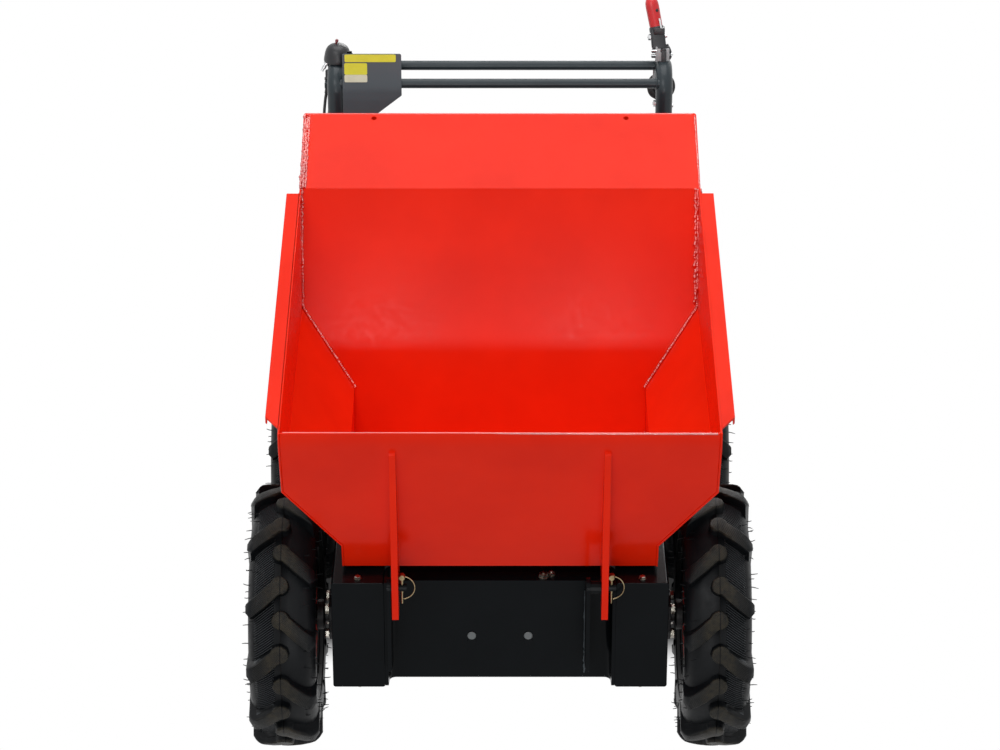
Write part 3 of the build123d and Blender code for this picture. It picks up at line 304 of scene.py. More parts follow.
class Nodes:
    """Adds linked nodes to a node tree."""

    def __init__(self, tree):
        self.tree = tree

    def node(self, kind, links=None, **settings):
        node = self.tree.nodes.new(kind)
        for name, value in settings.items():
            setattr(node, name, value)
        for name, value in (links or {}).items():
            self.feed(node.inputs[name], value)
        return node

    def feed(self, socket, value):
        if isinstance(value, bpy.types.NodeSocket):
            self.tree.links.new(value, socket)
        else:
            socket.default_value = value

    def math(self, kind, *values):
        return self.node("ShaderNodeMath", dict(enumerate(values)), operation=kind).outputs[0]

    def times(self, first, second):
        return self.math("MULTIPLY", first, second)

    def span(self, value, low, high, to_low=0.0, to_high=1.0, kind="LINEAR"):
        """Takes low..high to to_low..to_high and stops at both ends."""
        links = {"Value": value, "From Min": low, "From Max": high, "To Min": to_low, "To Max": to_high}
        return self.node("ShaderNodeMapRange", links, interpolation_type=kind).outputs["Result"]

    def axes(self, place):
        return self.node("ShaderNodeSeparateXYZ", {"Vector": place}).outputs

    def seen(self):
        """1 for rays that show the surroundings: from the camera, and in reflections and glass."""
        path = self.node("ShaderNodeLightPath").outputs
        mirrored = self.math("MAXIMUM", path["Is Camera Ray"], path["Is Glossy Ray"])
        return self.math("MAXIMUM", mirrored, path["Is Transmission Ray"])


class Look(Nodes):
    """A Principled material with procedural colour, roughness and bump, kept in LOOKS under its name."""

    def __init__(self, name, metal=0.0, coat=0.0, coat_rough=0.1, specular=0.5):
        LOOKS[name] = material = bpy.data.materials.new(name)
        material.use_nodes = True
        super().__init__(material.node_tree)
        self.shader = self.tree.nodes["Principled BSDF"]
        for socket, value in {"Metallic": metal, "Coat Weight": coat, "Coat Roughness": coat_rough,
                              "Specular IOR Level": specular}.items():
            self.shader.inputs[socket].default_value = value
        self.place = self.node("ShaderNodeTexCoord").outputs["Object"]

    def noise(self, scale, detail=4.0, rough=0.55, place=None):
        links = {"Vector": place or self.place, "Scale": scale, "Detail": detail, "Roughness": rough}
        return self.node("ShaderNodeTexNoise", links).outputs["Fac"]

    def mix(self, share, first, second):
        node = self.node("ShaderNodeMix", data_type="RGBA")
        for socket, value in zip((node.inputs[0], node.inputs[6], node.inputs[7]), (share, first, second)):
            self.feed(socket, value if isinstance(value, (bpy.types.NodeSocket, float)) else (*value, 1.0))
        return node.outputs[2]

    def colour(self, value):
        self.feed(self.shader.inputs["Base Color"], value)

    def roughness(self, value):
        self.feed(self.shader.inputs["Roughness"], value)

    def bump(self, *heights):
        """Bumps from (height, strength, distance) rows, one on the other."""
        normal = None
        for height, strength, distance in heights:
            links = {"Height": height, "Strength": strength, "Distance": distance}
            if normal:
                links["Normal"] = normal
            normal = self.node("ShaderNodeBump", links).outputs["Normal"]
        self.feed(self.shader.inputs["Normal"], normal)

    def upward(self):
        """1 where the surface faces up, 0 where it is upright or faces down."""
        normal = self.node("ShaderNodeNewGeometry").outputs["Normal"]
        return self.span(self.axes(normal)["Z"], 0.35, 0.95)


DUST = (0.3, 0.27, 0.23)


def paint(name, colour, shade, rough, coat=0.0, peel=0.12, dust=0.0, shine=0.3):
    """Sprayed paint: a slow drift of colour, orange peel, and dust on what faces up."""
    look = Look(name, coat=coat, coat_rough=0.16, specular=shine)
    drift = look.span(look.noise(7.0, 3.0), 0.35, 0.65)
    base = look.mix(drift, shade, colour)
    if dust:
        cover = look.times(look.upward(), look.span(look.noise(38.0, 6.0, 0.7), 0.42, 0.75, 0.0, dust))
        base = look.mix(cover, base, DUST)
    look.colour(base)
    look.roughness(look.span(look.noise(130.0, 4.0), 0.3, 0.7, rough - 0.03, rough + 0.05))
    look.bump((look.noise(900.0, 2.0), peel, 0.0003), (look.noise(260.0, 2.0), peel, 0.0003))


def metal(name, colour, shade, rough):
    """Plated or bare metal with fine streaks and stains."""
    look = Look(name, metal=1.0)
    stretched = look.node("ShaderNodeMapping", {"Vector": look.place, "Scale": (1.0, 6.0, 1.0)}).outputs[0]
    look.colour(look.mix(look.span(look.noise(70.0, 5.0, 0.7), 0.35, 0.7), shade, colour))
    look.roughness(look.span(look.noise(260.0, 4.0, place=stretched), 0.3, 0.7, rough - 0.08, rough + 0.12))
    look.bump((look.noise(780.0, 2.0, place=stretched), 0.15, 0.0002))


def plastic(name, colour, rough, grain=0.25):
    """Moulded plastic or rubber with a fine grain."""
    look = Look(name)
    look.colour(look.mix(look.noise(30.0, 3.0), [c * 0.8 for c in colour], [c * 1.2 for c in colour]))
    look.roughness(look.span(look.noise(200.0), 0.3, 0.7, rough - 0.06, rough + 0.06))
    look.bump((look.noise(1500.0, 1.0), grain, 0.0002))


def casting(name, colour, rough):
    """Sand or die casting: mottled and grainy."""
    look = Look(name, metal=0.85)
    look.colour(look.mix(look.noise(45.0, 6.0, 0.7), [c * 0.7 for c in colour], colour))
    look.roughness(look.span(look.noise(120.0, 5.0), 0.3, 0.7, rough - 0.1, rough + 0.1))
    look.bump((look.noise(420.0, 4.0, 0.7), 0.35, 0.0005))


def rubber(name, out):
    """Tyre rubber: slanting ribs between the outer lugs, worn and dusty lug tops, a parting line round the middle,
    and painted highlights on the crests of the ribs and of the lug tops' knurl.
    """
    look = Look(name, specular=0.12)
    span, times, noise = look.span, look.times, look.noise
    x, y, z = look.axes(look.place)
    radius = look.math("SQRT", look.math("ADD", times(y, y), times(z, z)))
    outward = times(x, float(out))
    aside = look.math("ABSOLUTE", x)
    slant = look.math("ADD", times(look.math("ARCTAN2", y, z), 0.19), times(outward, 0.75))

    def stripes(pitch, cover):
        return times(look.math("SINE", times(slant, math.tau / pitch)), cover)

    outer = times(span(outward, 0.0095, 0.01), span(outward, 0.0395, 0.04, 1.0, 0.0))
    between_lugs = span(radius, 0.1905, 0.1915, 1.0, 0.0)
    ribs = stripes(0.004, times(outer, between_lugs))
    knurl = stripes(0.0026, span(radius, 0.1955, 0.1985))
    # Painted highlight: the ribs' crests are lightened in colour.
    painted_rib_highlight = times(span(ribs, 0.45, 0.95), 0.75)
    # Painted highlight: the knurl's crests on the lug tops are lightened in colour.
    edge = times(span(knurl, 0.5, 0.95), 0.45)
    worn = times(span(radius, 0.1975, 0.2012), span(noise(90.0, 5.0, 0.7), 0.3, 0.62))
    dusty = times(worn, times(span(aside, 0.017, 0.028, 1.0, 0.12), 0.62))
    haze = span(noise(26.0, 5.0, 0.7), 0.45, 0.8, 0.0, 0.12)
    parting = times(span(aside, 0.0006, 0.0011, 1.0, 0.0), span(radius, 0.185, 0.187))

    base = look.mix(span(noise(16.0, 4.0), 0.35, 0.7), (0.0026, 0.0032, 0.004), (0.0058, 0.0068, 0.008))
    # The lighter colours laid on the ribs' crests and the knurl's crests are painted highlights.
    for cover, colour in ((haze, (0.028, 0.031, 0.035)), (dusty, (0.046, 0.038, 0.024)), (edge, (0.04, 0.038, 0.032)),
                          (painted_rib_highlight, (0.075, 0.082, 0.09)), (parting, (0.001, 0.001, 0.0012))):
        base = look.mix(cover, base, colour)
    look.colour(base)
    look.roughness(span(noise(70.0, 4.0), 0.3, 0.7, 0.34, 0.5))
    look.bump((ribs, 0.9, 0.0012), (knurl, 0.5, 0.0005), (noise(700.0, 3.0), 0.18, 0.0003))


# The slots' own looks.
paint("skip_red", (0.87, 0.022, 0.0036), (0.8, 0.018, 0.003), 0.19, peel=0.05, shine=0.09)
paint("chassis_black", (0.0042, 0.0056, 0.0068), (0.003, 0.004, 0.005), 0.22, peel=0.1, shine=0.07)
casting("bearing_iron", (0.035, 0.035, 0.037), 0.5)
metal("zinc_steel", (0.52, 0.5, 0.45), (0.22, 0.2, 0.16), 0.26)
paint("rim_red", (0.6, 0.02, 0.01), (0.48, 0.014, 0.008), 0.35, coat=0.3)
paint("hub_black", (0.018, 0.018, 0.019), (0.012, 0.012, 0.013), 0.4)
paint("engine_black", (0.022, 0.022, 0.024), (0.014, 0.014, 0.015), 0.36, coat=0.2, dust=0.12)
casting("engine_aluminium", (0.34, 0.345, 0.35), 0.5)
paint("tank_black", (0.018, 0.018, 0.02), (0.013, 0.013, 0.014), 0.24, coat=0.5, dust=0.06)
metal("exhaust_steel", (0.34, 0.31, 0.28), (0.16, 0.12, 0.09), 0.46)
plastic("filter_plastic", (0.02, 0.02, 0.021), 0.5)
plastic("grip_rubber", (0.018, 0.018, 0.019), 0.62, 0.5)
paint("panel_blue_grey", (0.108, 0.132, 0.148), (0.09, 0.112, 0.128), 0.42, peel=0.2)
plastic("control_plastic", (0.009, 0.01, 0.0125), 0.4)
# Looks of pieces that differ from the rest of their slot.
paint("handle_black", (0.032, 0.043, 0.05), (0.024, 0.033, 0.039), 0.3, peel=0.1, shine=0.28)
paint("bracket_zinc", (0.46, 0.47, 0.48), (0.36, 0.37, 0.38), 0.32, peel=0.15, shine=0.6)
plastic("grip_red", (0.62, 0.018, 0.022), 0.33, 0.1)
paint("weld_red", (0.84, 0.026, 0.006), (0.5, 0.008, 0.002), 0.11, coat=0.6, peel=0.3, shine=0.9)
# The beads under their thick paint shine more than the sheets.
LOOKS["weld_red"].node_tree.nodes["Principled BSDF"].inputs["Coat IOR"].default_value = 2.1
plastic("button_red", (0.2, 0.022, 0.03), 0.4, 0.1)
plastic("cable_black", (0.014, 0.014, 0.015), 0.42, 0.15)
plastic("sticker_yellow", (0.86, 0.84, 0.05), 0.35, 0.05)
plastic("sticker_pale", (0.84, 0.83, 0.62), 0.35, 0.05)
plastic("plug_grey", (0.125, 0.138, 0.142), 0.5)
metal("gold_zinc", (0.46, 0.37, 0.22), (0.2, 0.15, 0.08), 0.26)
metal("bright_steel", (0.78, 0.79, 0.8), (0.55, 0.56, 0.57), 0.25)


# ---------------- wheels
TYRE_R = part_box("tyre_front_left")[1].z / 2
RIM_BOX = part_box("rim_front_left")
RIM_EDGE = (RIM_BOX[1].x - RIM_BOX[0].x) / 2
NUT_CIRCLE_R = 0.0385
DISC_FACE = -0.013
SIDE_NAME = {1: "left", -1: "right"}
BEAD_R = 0.1019
# (distance from the tyre's middle plane, radius), from the bead to the tread's ground.
SIDEWALL = [(0.033, BEAD_R), (0.0365, 0.1045), (0.041, 0.1125), (0.0455, 0.122), (0.049, 0.134), (0.0508, 0.147),
            (0.0503, 0.158), (0.0478, 0.1675), (0.043, 0.176), (0.036, 0.1822), (0.025, 0.1862),
            (0.012, 0.1882), (0.0006, 0.1889), (0.0003, 0.1893)]
# (distance from the middle plane, radius) of the lugs' tops.
LUG_TOP = [(0.0, 0.2023), (0.02, 0.202), (0.034, 0.2008), (0.041, 0.1992), (0.047, 0.1945), (0.052, 0.187)]
# (round the tyre, across it) along a lug's middle line.
LUG_SPINE = [(0.0227, -0.0095), (0.015, 0.001), (0.0065, 0.0125), (-0.0075, 0.028), (-0.018, 0.042),
             (-0.0255, 0.052)]
LUG_END = LUG_TOP[-1][0]
# Radius at which lengths round the tyre are measured.
LUG_LENGTH_R = 0.196
LUG_LEAD = math.asin(0.028 / TYRE_R)
BULB_R, ARM_HALF = 0.013, 0.0098
LUGS = 12
SHOULDER = [(w, r) for w, r in SIDEWALL if r > 0.14]
GROUND_LINE = sorted(SHOULDER)
SHOULDER_LINE = sorted((r, w) for w, r in SHOULDER)
HAIRS = 96


def around(count, radius):
    """Places evenly round a circle, the first half a step along."""
    turns = (math.tau * (i + 0.5) / count for i in range(count))
    return [(radius * math.cos(a), radius * math.sin(a)) for a in turns]


def table_value(table, x):
    """Straight-line value at x from rows of (x, value) in rising order."""
    for (x0, v0), (x1, v1) in zip(table, table[1:]):
        if x <= x1:
            return v0 + (v1 - v0) * max(0.0, (x - x0) / (x1 - x0))
    return table[-1][1]


def smooth(points, count):
    """Evenly spread points along a smooth line through the given ones."""
    rows = [Vector(p).to_3d() for p in points]
    rows = [rows[0] * 2 - rows[1]] + rows + [rows[-1] * 2 - rows[-2]]
    fine = []
    for a, b, c, d in zip(rows, rows[1:], rows[2:], rows[3:]):
        for i in range(12):
            t = i / 12
            fine.append(((b * 2) + (c - a) * t + (a * 2 - b * 5 + c * 4 - d) * t**2
                         + (b * 3 - a - c * 3 + d) * t**3) * 0.5)
    fine.append(rows[-2])
    lengths = [0.0]
    for a, b in zip(fine, fine[1:]):
        lengths.append(lengths[-1] + (b - a).length)
    line, k = [], 0
    for i in range(count):
        goal = lengths[-1] * i / (count - 1)
        while k < len(fine) - 2 and lengths[k + 1] < goal:
            k += 1
        line.append(fine[k].lerp(fine[k + 1], (goal - lengths[k]) / max(1e-9, lengths[k + 1] - lengths[k])))
    return line


def left_of(run):
    return Vector((-run.y, run.x, 0.0))


def lug(side, turn):
    """One lug: a round bulb on the centre line and a curved arm down to the shoulder."""
    n = 26
    stations = smooth(LUG_SPINE, n)
    left, right, length = [], [], 0.0
    for i, here in enumerate(stations):
        run = (stations[min(i + 1, n - 1)] - stations[max(i - 1, 0)]).normalized()
        if i:
            length += (here - stations[i - 1]).length
        half = math.sqrt(max(0.0, BULB_R**2 - (BULB_R - length)**2)) if length < 2 * BULB_R else 0.0
        if length > BULB_R:
            half = max(half, ARM_HALF + 0.0012 * (length - BULB_R) / 0.06)
        left.append(here + left_of(run) * half)
        right.append(here - left_of(run) * half)
    loop = left + right[:0:-1]
    count = len(loop)
    outward = [left_of(loop[(i + 1) % count] - loop[i - 1]).normalized() for i in range(count)]

    def on_tyre(u, w, rise):
        """Point at u round the tyre and w across it; rise is 0 on the tyre's ground and 1 on the lug's top."""
        w = max(-LUG_END, min(LUG_END, w))
        base, top = table_value(GROUND_LINE, abs(w)), table_value(LUG_TOP, abs(w))
        radius = base + (top - base) * rise
        angle = u / LUG_LENGTH_R - turn
        return side * w, radius * math.sin(angle), radius * math.cos(angle)

    # (how far the lug's side stands out from its outline, share of the lug's height), from the foot up.
    levels = [(0.003, -0.25), (0.0016, 0.08), (0.0009, 0.55), (0.0006, 0.84), (0.0, 0.955), (-0.0012, 1.0)]
    points = []
    for offset, rise in levels:
        points += [on_tyre(*(p + normal * offset).xy, rise) for p, normal in zip(loop, outward)]
    faces = []
    for level in range(len(levels) - 1):
        faces += band(level * count, (level + 1) * count, count)
    top = (len(levels) - 1) * count
    spine = len(points)
    points += [on_tyre(*p.xy, 1.006) for p in stations[1:]]
    rights = [0] + [count - i for i in range(1, n)]
    for i in range(1, n - 1):
        a, b = spine + i - 1, spine + i
        faces += [[top + i, top + i + 1, b, a], [a, b, top + rights[i + 1], top + rights[i]]]
    faces += [[top, top + 1, spine], [top, spine, top + rights[1]],
              [top + n - 1, top + rights[n - 1], spine + n - 2]]
    if side < 0:
        faces = [f[::-1] for f in faces]
    return points, faces


def vent_hairs(shape):
    """Thin moulding hairs that stand out of the shoulders and the lugs' ends."""
    rng = random.Random(5)
    for side in (-1, 1):
        for i in range(HAIRS):
            angle = math.tau * (i + rng.uniform(-0.3, 0.3)) / HAIRS
            radius = rng.choice([0.15, 0.163, 0.172, 0.183, 0.19])
            w = table_value(SHOULDER_LINE, min(radius, 0.1822)) + 0.0005
            length = rng.uniform(0.004, 0.0115)
            at = Vector((side * w, radius * math.sin(angle), radius * math.cos(angle)))
            lean = Vector((side, rng.uniform(-0.25, 0.25), rng.uniform(-0.25, 0.25))).normalized()
            droop = Vector((0, rng.uniform(-1, 1), rng.uniform(-1, 1))) * 0.0012
            path = [at - lean * 0.002, at + lean * length * 0.5, at + lean * length + droop]
            shape.bar(path, [0.0008, 0.0007, 0.00045], 4)


def tyre_mesh(out):
    """Carcass, two rings on each sidewall, lugs and hairs; out is the side of the machine that the tyre is on."""
    shape = Shape()
    profile = [(r, -w) for w, r in SIDEWALL] + [(r, w) for w, r in SIDEWALL[::-1]]
    shape.add(lathe(profile, 168), ALONG_X)
    for ring_r, ring_w in ((0.1145, 0.042), (0.13, 0.048)):
        for side in (-1, 1):
            ring = [(ring_r - 0.0012, side * (ring_w - 0.001)), (ring_r, side * (ring_w + 0.0011)),
                    (ring_r + 0.0012, side * ring_w)]
            shape.add(lathe(ring if side > 0 else ring[::-1], 120), ALONG_X)
    for side in (-1, 1):
        for i in range(LUGS):
            step = i + (0.5 if side == out else 0.0)
            shape.add(lug(side, math.pi + LUG_LEAD + step * math.tau / LUGS))
    vent_hairs(shape)
    return shape.mesh("tyre_" + SIDE_NAME[out], 55)


def rim_form():
    """Pressed rim with its well, flanges and dished disc, as on a left wheel."""
    edge, flat, inner = RIM_EDGE, -0.016, 0.0986
    flange = [(0.1095, edge), (0.1122, edge - 0.0012), (0.1118, edge - 0.0026), (0.1085, edge - 0.0032),
              (0.1035, edge - 0.005), (0.1016, edge - 0.01), (0.1016, 0.016), (0.099, 0.011)]
    disc = [(0.106, edge - 0.0008), (0.1005, edge - 0.0045), (0.0988, edge - 0.01), (0.0986, 0.01),
            (0.096, 0.004), (0.089, 0.0), (0.076, -0.0045), (0.06, -0.011), (0.053, -0.0128),
            (0.0203, -0.013), (0.0203, flat), (0.054, flat), (0.062, flat + 0.0018), (0.077, flat + 0.009),
            (0.09, flat + 0.0125), (0.0975, flat + 0.014), (inner, -0.004)]
    start = (inner, -edge + 0.001)
    profile = [start] + [(r, -w) for r, w in flange] + flange[::-1] + disc + [start]
    rim = Shape().add(lathe(profile, 120), ALONG_X)
    return rim.points, rim.faces


def wheel(name):
    """Tyre, rim, hub with its stub, wheel nuts and valve of one wheel."""
    out = 1 if "left" in name else -1
    at = Vector(JOINTS[f"spin_{name}"]["pos_m"])
    body = f"wheel_{name}"
    mirror = Matrix.Scale(out, 4, (1, 0, 0))
    rim = Shape().add(RIM, mirror).mesh(f"rim_{name}", 40)
    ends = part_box(f"hub_{name}")
    stub = out * ((ends[0].x if out > 0 else ends[1].x) - at.x)
    profile = [(0, stub), (0.0125, stub), (0.0125, -0.058), (0.0235, -0.055), (0.0235, -0.046),
               (0.015, -0.043), (0.015, -0.03), (0.034, -0.0265), (0.036, -0.025), (0.036, -0.0165),
               (0.02, -0.016), (0.02, -0.002), (0.0185, 0.0), (0.006, 0.0006), (0, 0.0006)]
    hub = Shape().add(lathe(profile, 64), mirror @ ALONG_X).mesh(f"hub_{name}", 35)
    for kind, mesh, slot, look in (("tyre", TYRES[out], "tyre_rubber", "tyre_rubber_" + SIDE_NAME[out]),
                                   ("rim", rim, "rim_red", None), ("hub", hub, "hub_black", None)):
        show(f"{kind}_{name}_look", mesh, body, slot, look, [f"{kind}_{name}"], at)
    nuts = Shape()
    for y, z in around(4, NUT_CIRCLE_R):
        bolt(nuts, (out * DISC_FACE, y, z), (out, 0, 0), 0.01, 0.003)
    valve = [(0.0042, -0.004), (0.0042, 0.004), (0.0026, 0.006), (0.0026, 0.026), (0.0034, 0.0262),
             (0.0034, 0.034), (0, 0.0345)]
    nuts.turned(valve, 16, (out * 0.004, 0.0, 0.082), (out, 0, 0.35))
    show(f"wheel_nuts_{name}", nuts.mesh(f"nuts_{name}", 35), body, "zinc_steel", at=at)


for side_out in (1, -1):
    rubber("tyre_rubber_" + SIDE_NAME[side_out], side_out)
TYRES = {out: tyre_mesh(out) for out in (1, -1)}
RIM = rim_form()
for wheel_name in WHEELS:
    wheel(wheel_name)


# ---------------- skip
def face_points(node, normal):
    """Corners of a CAD node that lie on its face furthest along normal."""
    points = [v.co.copy() for v in NODES[node].data.vertices]
    top = max(p.dot(normal) for p in points)
    return [p for p in points if p.dot(normal) > top - 2e-4]


def far(points, direction):
    return max(points, key=Vector(direction).dot).copy()


def broad_normal(node):
    """Normal of a sheet's broadest face that looks forwards or up, turned to point up."""
    best = max((p for p in NODES[node].data.polygons if p.normal.y < 0.3 or p.normal.z > 0.5), key=lambda p: p.area)
    return best.normal.copy() if best.normal.z > 0 else -best.normal


# (distance in from the sheet's edge, width) of the beads on the right and the left edge of the chute.
CHUTE_BEADS = {-1: ((0.0016, 0.0044), (0.0054, 0.0058), (0.009, 0.0036)), 1: ((0.002, 0.0024),)}


def skip():
    """Sheets with soft edges, the beads along the back wall's seams, the rounded free edges and the weld nuts."""
    bevelled_nodes({"skip_front": 0.001, "skip_floor": 0.0009, "skip_back": 0.0009, "skip_chute": 0.0014,
                    "skip_side_left": 0.0013, "skip_side_right": 0.0013, "hinge_arm_left": 0.0012,
                    "hinge_arm_right": 0.0012}, 3)
    normal, chute_normal = broad_normal("skip_back"), broad_normal("skip_chute")
    back, chute = face_points("skip_back", normal), face_points("skip_chute", chute_normal)
    beads = Shape()

    def seam(start, end, side, shift, lift, *bead):
        """Bead from start to end, moved in from the side and out of the sheet."""
        slip = Vector((-side * shift, 0, 0)) + lift
        weld(beads, [start + slip, end + slip], *bead)

    for side in (-1, 1):
        top, shoulder = far(back, (side, 0, 1)), far(back, (side, 0, -0.35))
        waist = far([p for p in back if 0 < p.x * side < shoulder.x * side - 0.01], (0, 0, 1))
        seam(top, shoulder, side, 0.0012, normal * 0.0008, 0.0046, 11 + side)
        inset = (Vector((-side * 0.0012, 0, 0)) + normal * 0.0008) * 1.4
        weld(beads, [shoulder + inset, waist + inset], 0.0056, 15 + side, 0.0036, 0.4)
        edge, fold = far(chute, (side, 1, 0)), far(chute, (side, -1, 0))
        for shift, width in CHUTE_BEADS[side]:
            seam(fold, edge.lerp(fold, 0.03), side, shift, chute_normal * 0.0006, width, 31 + round(shift * 1e4),
                 0.0046, 1.5)
    # The left side, which the loop has reached, has two more rows.
    for shift, width in ((0.0046, 0.0052), (-0.0036, 0.0036)):
        seam(top, top.lerp(shoulder, 0.97), 1, shift, normal * 0.0012, width, 41, 0.0044, 1.4)
    beads.piece("skip_welds", "skip_red", "weld_red", sharp=60, body="skip")

    edges = Shape()
    front = [v.co for v in NODES["skip_front"].data.vertices]
    for points, outward, depth in ((chute, (1, 0), chute_normal * 0.0013), (front, (0, 1), Vector((0, 0, 0.001)))):
        edges.bar([far(points, (side, *outward)) - depth - Vector((side * 0.004, 0, 0)) for side in (-1, 1)],
                  0.0015, 16)
    edges.piece("skip_edges", "skip_red", "weld_red", sharp=60, body="skip")

    nuts = Shape()
    profile = [(0.0078, 0.0004), (0.0078, -0.0066), (0.007, -0.0075), (0.0043, -0.0075), (0.0043, 0.0004)]
    for mount in frame["record"]["mounts"]:
        if "chute_hole" in mount["name"]:
            axis = Vector(mount["axis"]).normalized()
            nuts.turned(profile, 6, Vector(mount["pos_m"]) - axis * 0.0016, axis)
    nuts.piece("chute_nuts", "skip_red", sharp=30, body="skip")


skip()


# ---------------- chassis
BEARING_CIRCLE_R = 0.03


def chassis():
    """Sheets and castings with soft edges, case and bearing bolts, the strip under the skip, plugs and beads."""
    bevelled_nodes({"side_case_left": 0.0008, "side_case_right": 0.0008, "front_channel": 0.0008,
                    "skip_rests": 0.0008, "rear_crossmember": 0.0008, "engine_deck": 0.001,
                    "bearing_flanges": 0.001, "gearbox": 0.0015})
    low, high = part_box("side_case_left")
    middle = (low.x + high.x) / 2
    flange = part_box("bearing_flanges")[1].x
    bolts = Shape()
    for side in (-1, 1):
        for y in (low.y + 0.018, low.y + 0.3, high.y - 0.06):
            bolt(bolts, (side * middle, y, low.z), (0, 0, -1), 0.008, 0.003)
        bolt(bolts, (side * middle, low.y + 0.014, high.z), (0, 0, 1), 0.0055)
        for name in WHEELS:
            axle = Vector(JOINTS[f"spin_{name}"]["pos_m"])
            if axle.x * side > 0:
                for y, z in around(4, BEARING_CIRCLE_R):
                    bolt(bolts, (side * flange, axle.y + y, axle.z + z), (side, 0, 0))
    bolt(bolts, (0.066, HINGE.y + 0.072, 0.305), (0, 0, 1), 0.008, 0.002)
    bolt(bolts, (0.078, HINGE.y + 0.078, 0.305), (0, 0, 1), 0.006, 0.002)
    bolts.piece("chassis_bolts", "zinc_steel", sharp=30)
    strip = Shape()
    strip.block((0.316, 0.04, 0.004), 0.0008, (0, HINGE.y + 0.104, 0.3028))
    strip.piece("channel_strip", "chassis_black")
    plugs = Shape()
    profile = [(0, 0), (0.0065, 0), (0.0065, 0.0007), (0.0055, 0.0015), (0, 0.0015)]
    for x in (-0.043, 0.043):
        plugs.turned(profile, 28, (x, HINGE.y + 0.0588, 0.2105), (0, -1, 0))
    plugs.piece("channel_plugs", "chassis_black", "plug_grey")
    beads = Shape()
    for x, top in ((0.129, 0.29), (-0.1745, 0.296)):
        weld(beads, [(x, HINGE.y + 0.0588, 0.146), (x, HINGE.y + 0.0588, top)], 0.004, 91, 0.005)
    beads.piece("rib_welds", "chassis_black", "handle_black", sharp=60)


def hinge():
    """Hinge pins with collars, and linch pins with their sprung rings."""
    bevelled("hinge_pins", 0.0006, look="chassis_black")
    shape = Shape()
    for x in (0.166, -0.146):
        at = Vector((x, HINGE.y, HINGE.z))
        shape.turned([(0, -0.027), (0.001, -0.0268), (0.0015, -0.025), (0.0015, -0.009), (0.0023, -0.0065),
                      (0.0023, 0.013), (0, 0.013)], 18, at, (0, 0, 1))
        shape.turned([(0, -0.0045), (0.004, -0.0045), (0.0052, -0.003), (0.0055, 0), (0.0052, 0.003),
                      (0.004, 0.0045), (0, 0.0045)], 24, at + Vector((0, 0, 0.018)), (0, 1, 0))
        arc = [at + Vector((0.019 * math.sin(a), 0, 0.019 * math.cos(a)))
               for a in (math.radians(165 * i / 36) for i in range(37))]
        shape.bar(arc, 0.0009, 10)
        shape.bar([arc[-1], at + Vector((0.0025, 0, -0.0192))], 0.0009, 10)
    shape.piece("linch_pins_look", "zinc_steel", "gold_zinc", ["linch_pins"], sharp=40)


chassis()
hinge()


# ---------------- handlebar and controls
def behind(x, y, z):
    """Point at x and z that lies y behind the front axle."""
    return Vector((x, FRONT_Y + y, z))


# Corners of the left upright's middle line, as behind() takes them; the right one mirrors it.
HANDLE = [(0.232, 0.655, 0.334), (0.232, 0.655, 0.39), (0.2725, 0.688, 0.47), (0.2725, 0.688, 0.94277),
          (0.2725, 0.772, 0.7885), (0.2725, 0.90352, 0.73536)]
HANDLE_BENDS = [0.06, 0.06, 0.035, 0.04]
HANDLE_R = 0.014
HANDLE_X = 0.2725
CROSSBARS = [(0.688, 0.823), (0.73206, 0.83911)]
# Routes in millimetres: x, distance behind the front axle, height.
THROTTLE_CABLE = [(-290, 762, 793), (-294.5, 757, 768), (-296.5, 747, 738), (-293, 732, 705), (-289, 719, 668),
                  (-288, 712, 628), (-286, 711, 590), (-276, 711, 562), (-250, 707, 543), (-212, 702, 534),
                  (-172, 697, 531), (-133, 690, 530), (-102, 686, 530), (-80, 685, 530)]
STOP_CABLE = [(-283, 749, 793), (-286, 745, 766), (-288.5, 735, 737), (-286, 722, 705), (-281, 713, 668),
              (-279, 711, 628), (-273, 711, 585), (-258, 710, 549), (-232, 704, 525), (-202, 692, 513),
              (-172, 671, 511), (-150, 645, 514), (-132, 619, 520), (-113, 595, 525), (-96, 578, 528),
              (-80, 567, 528)]


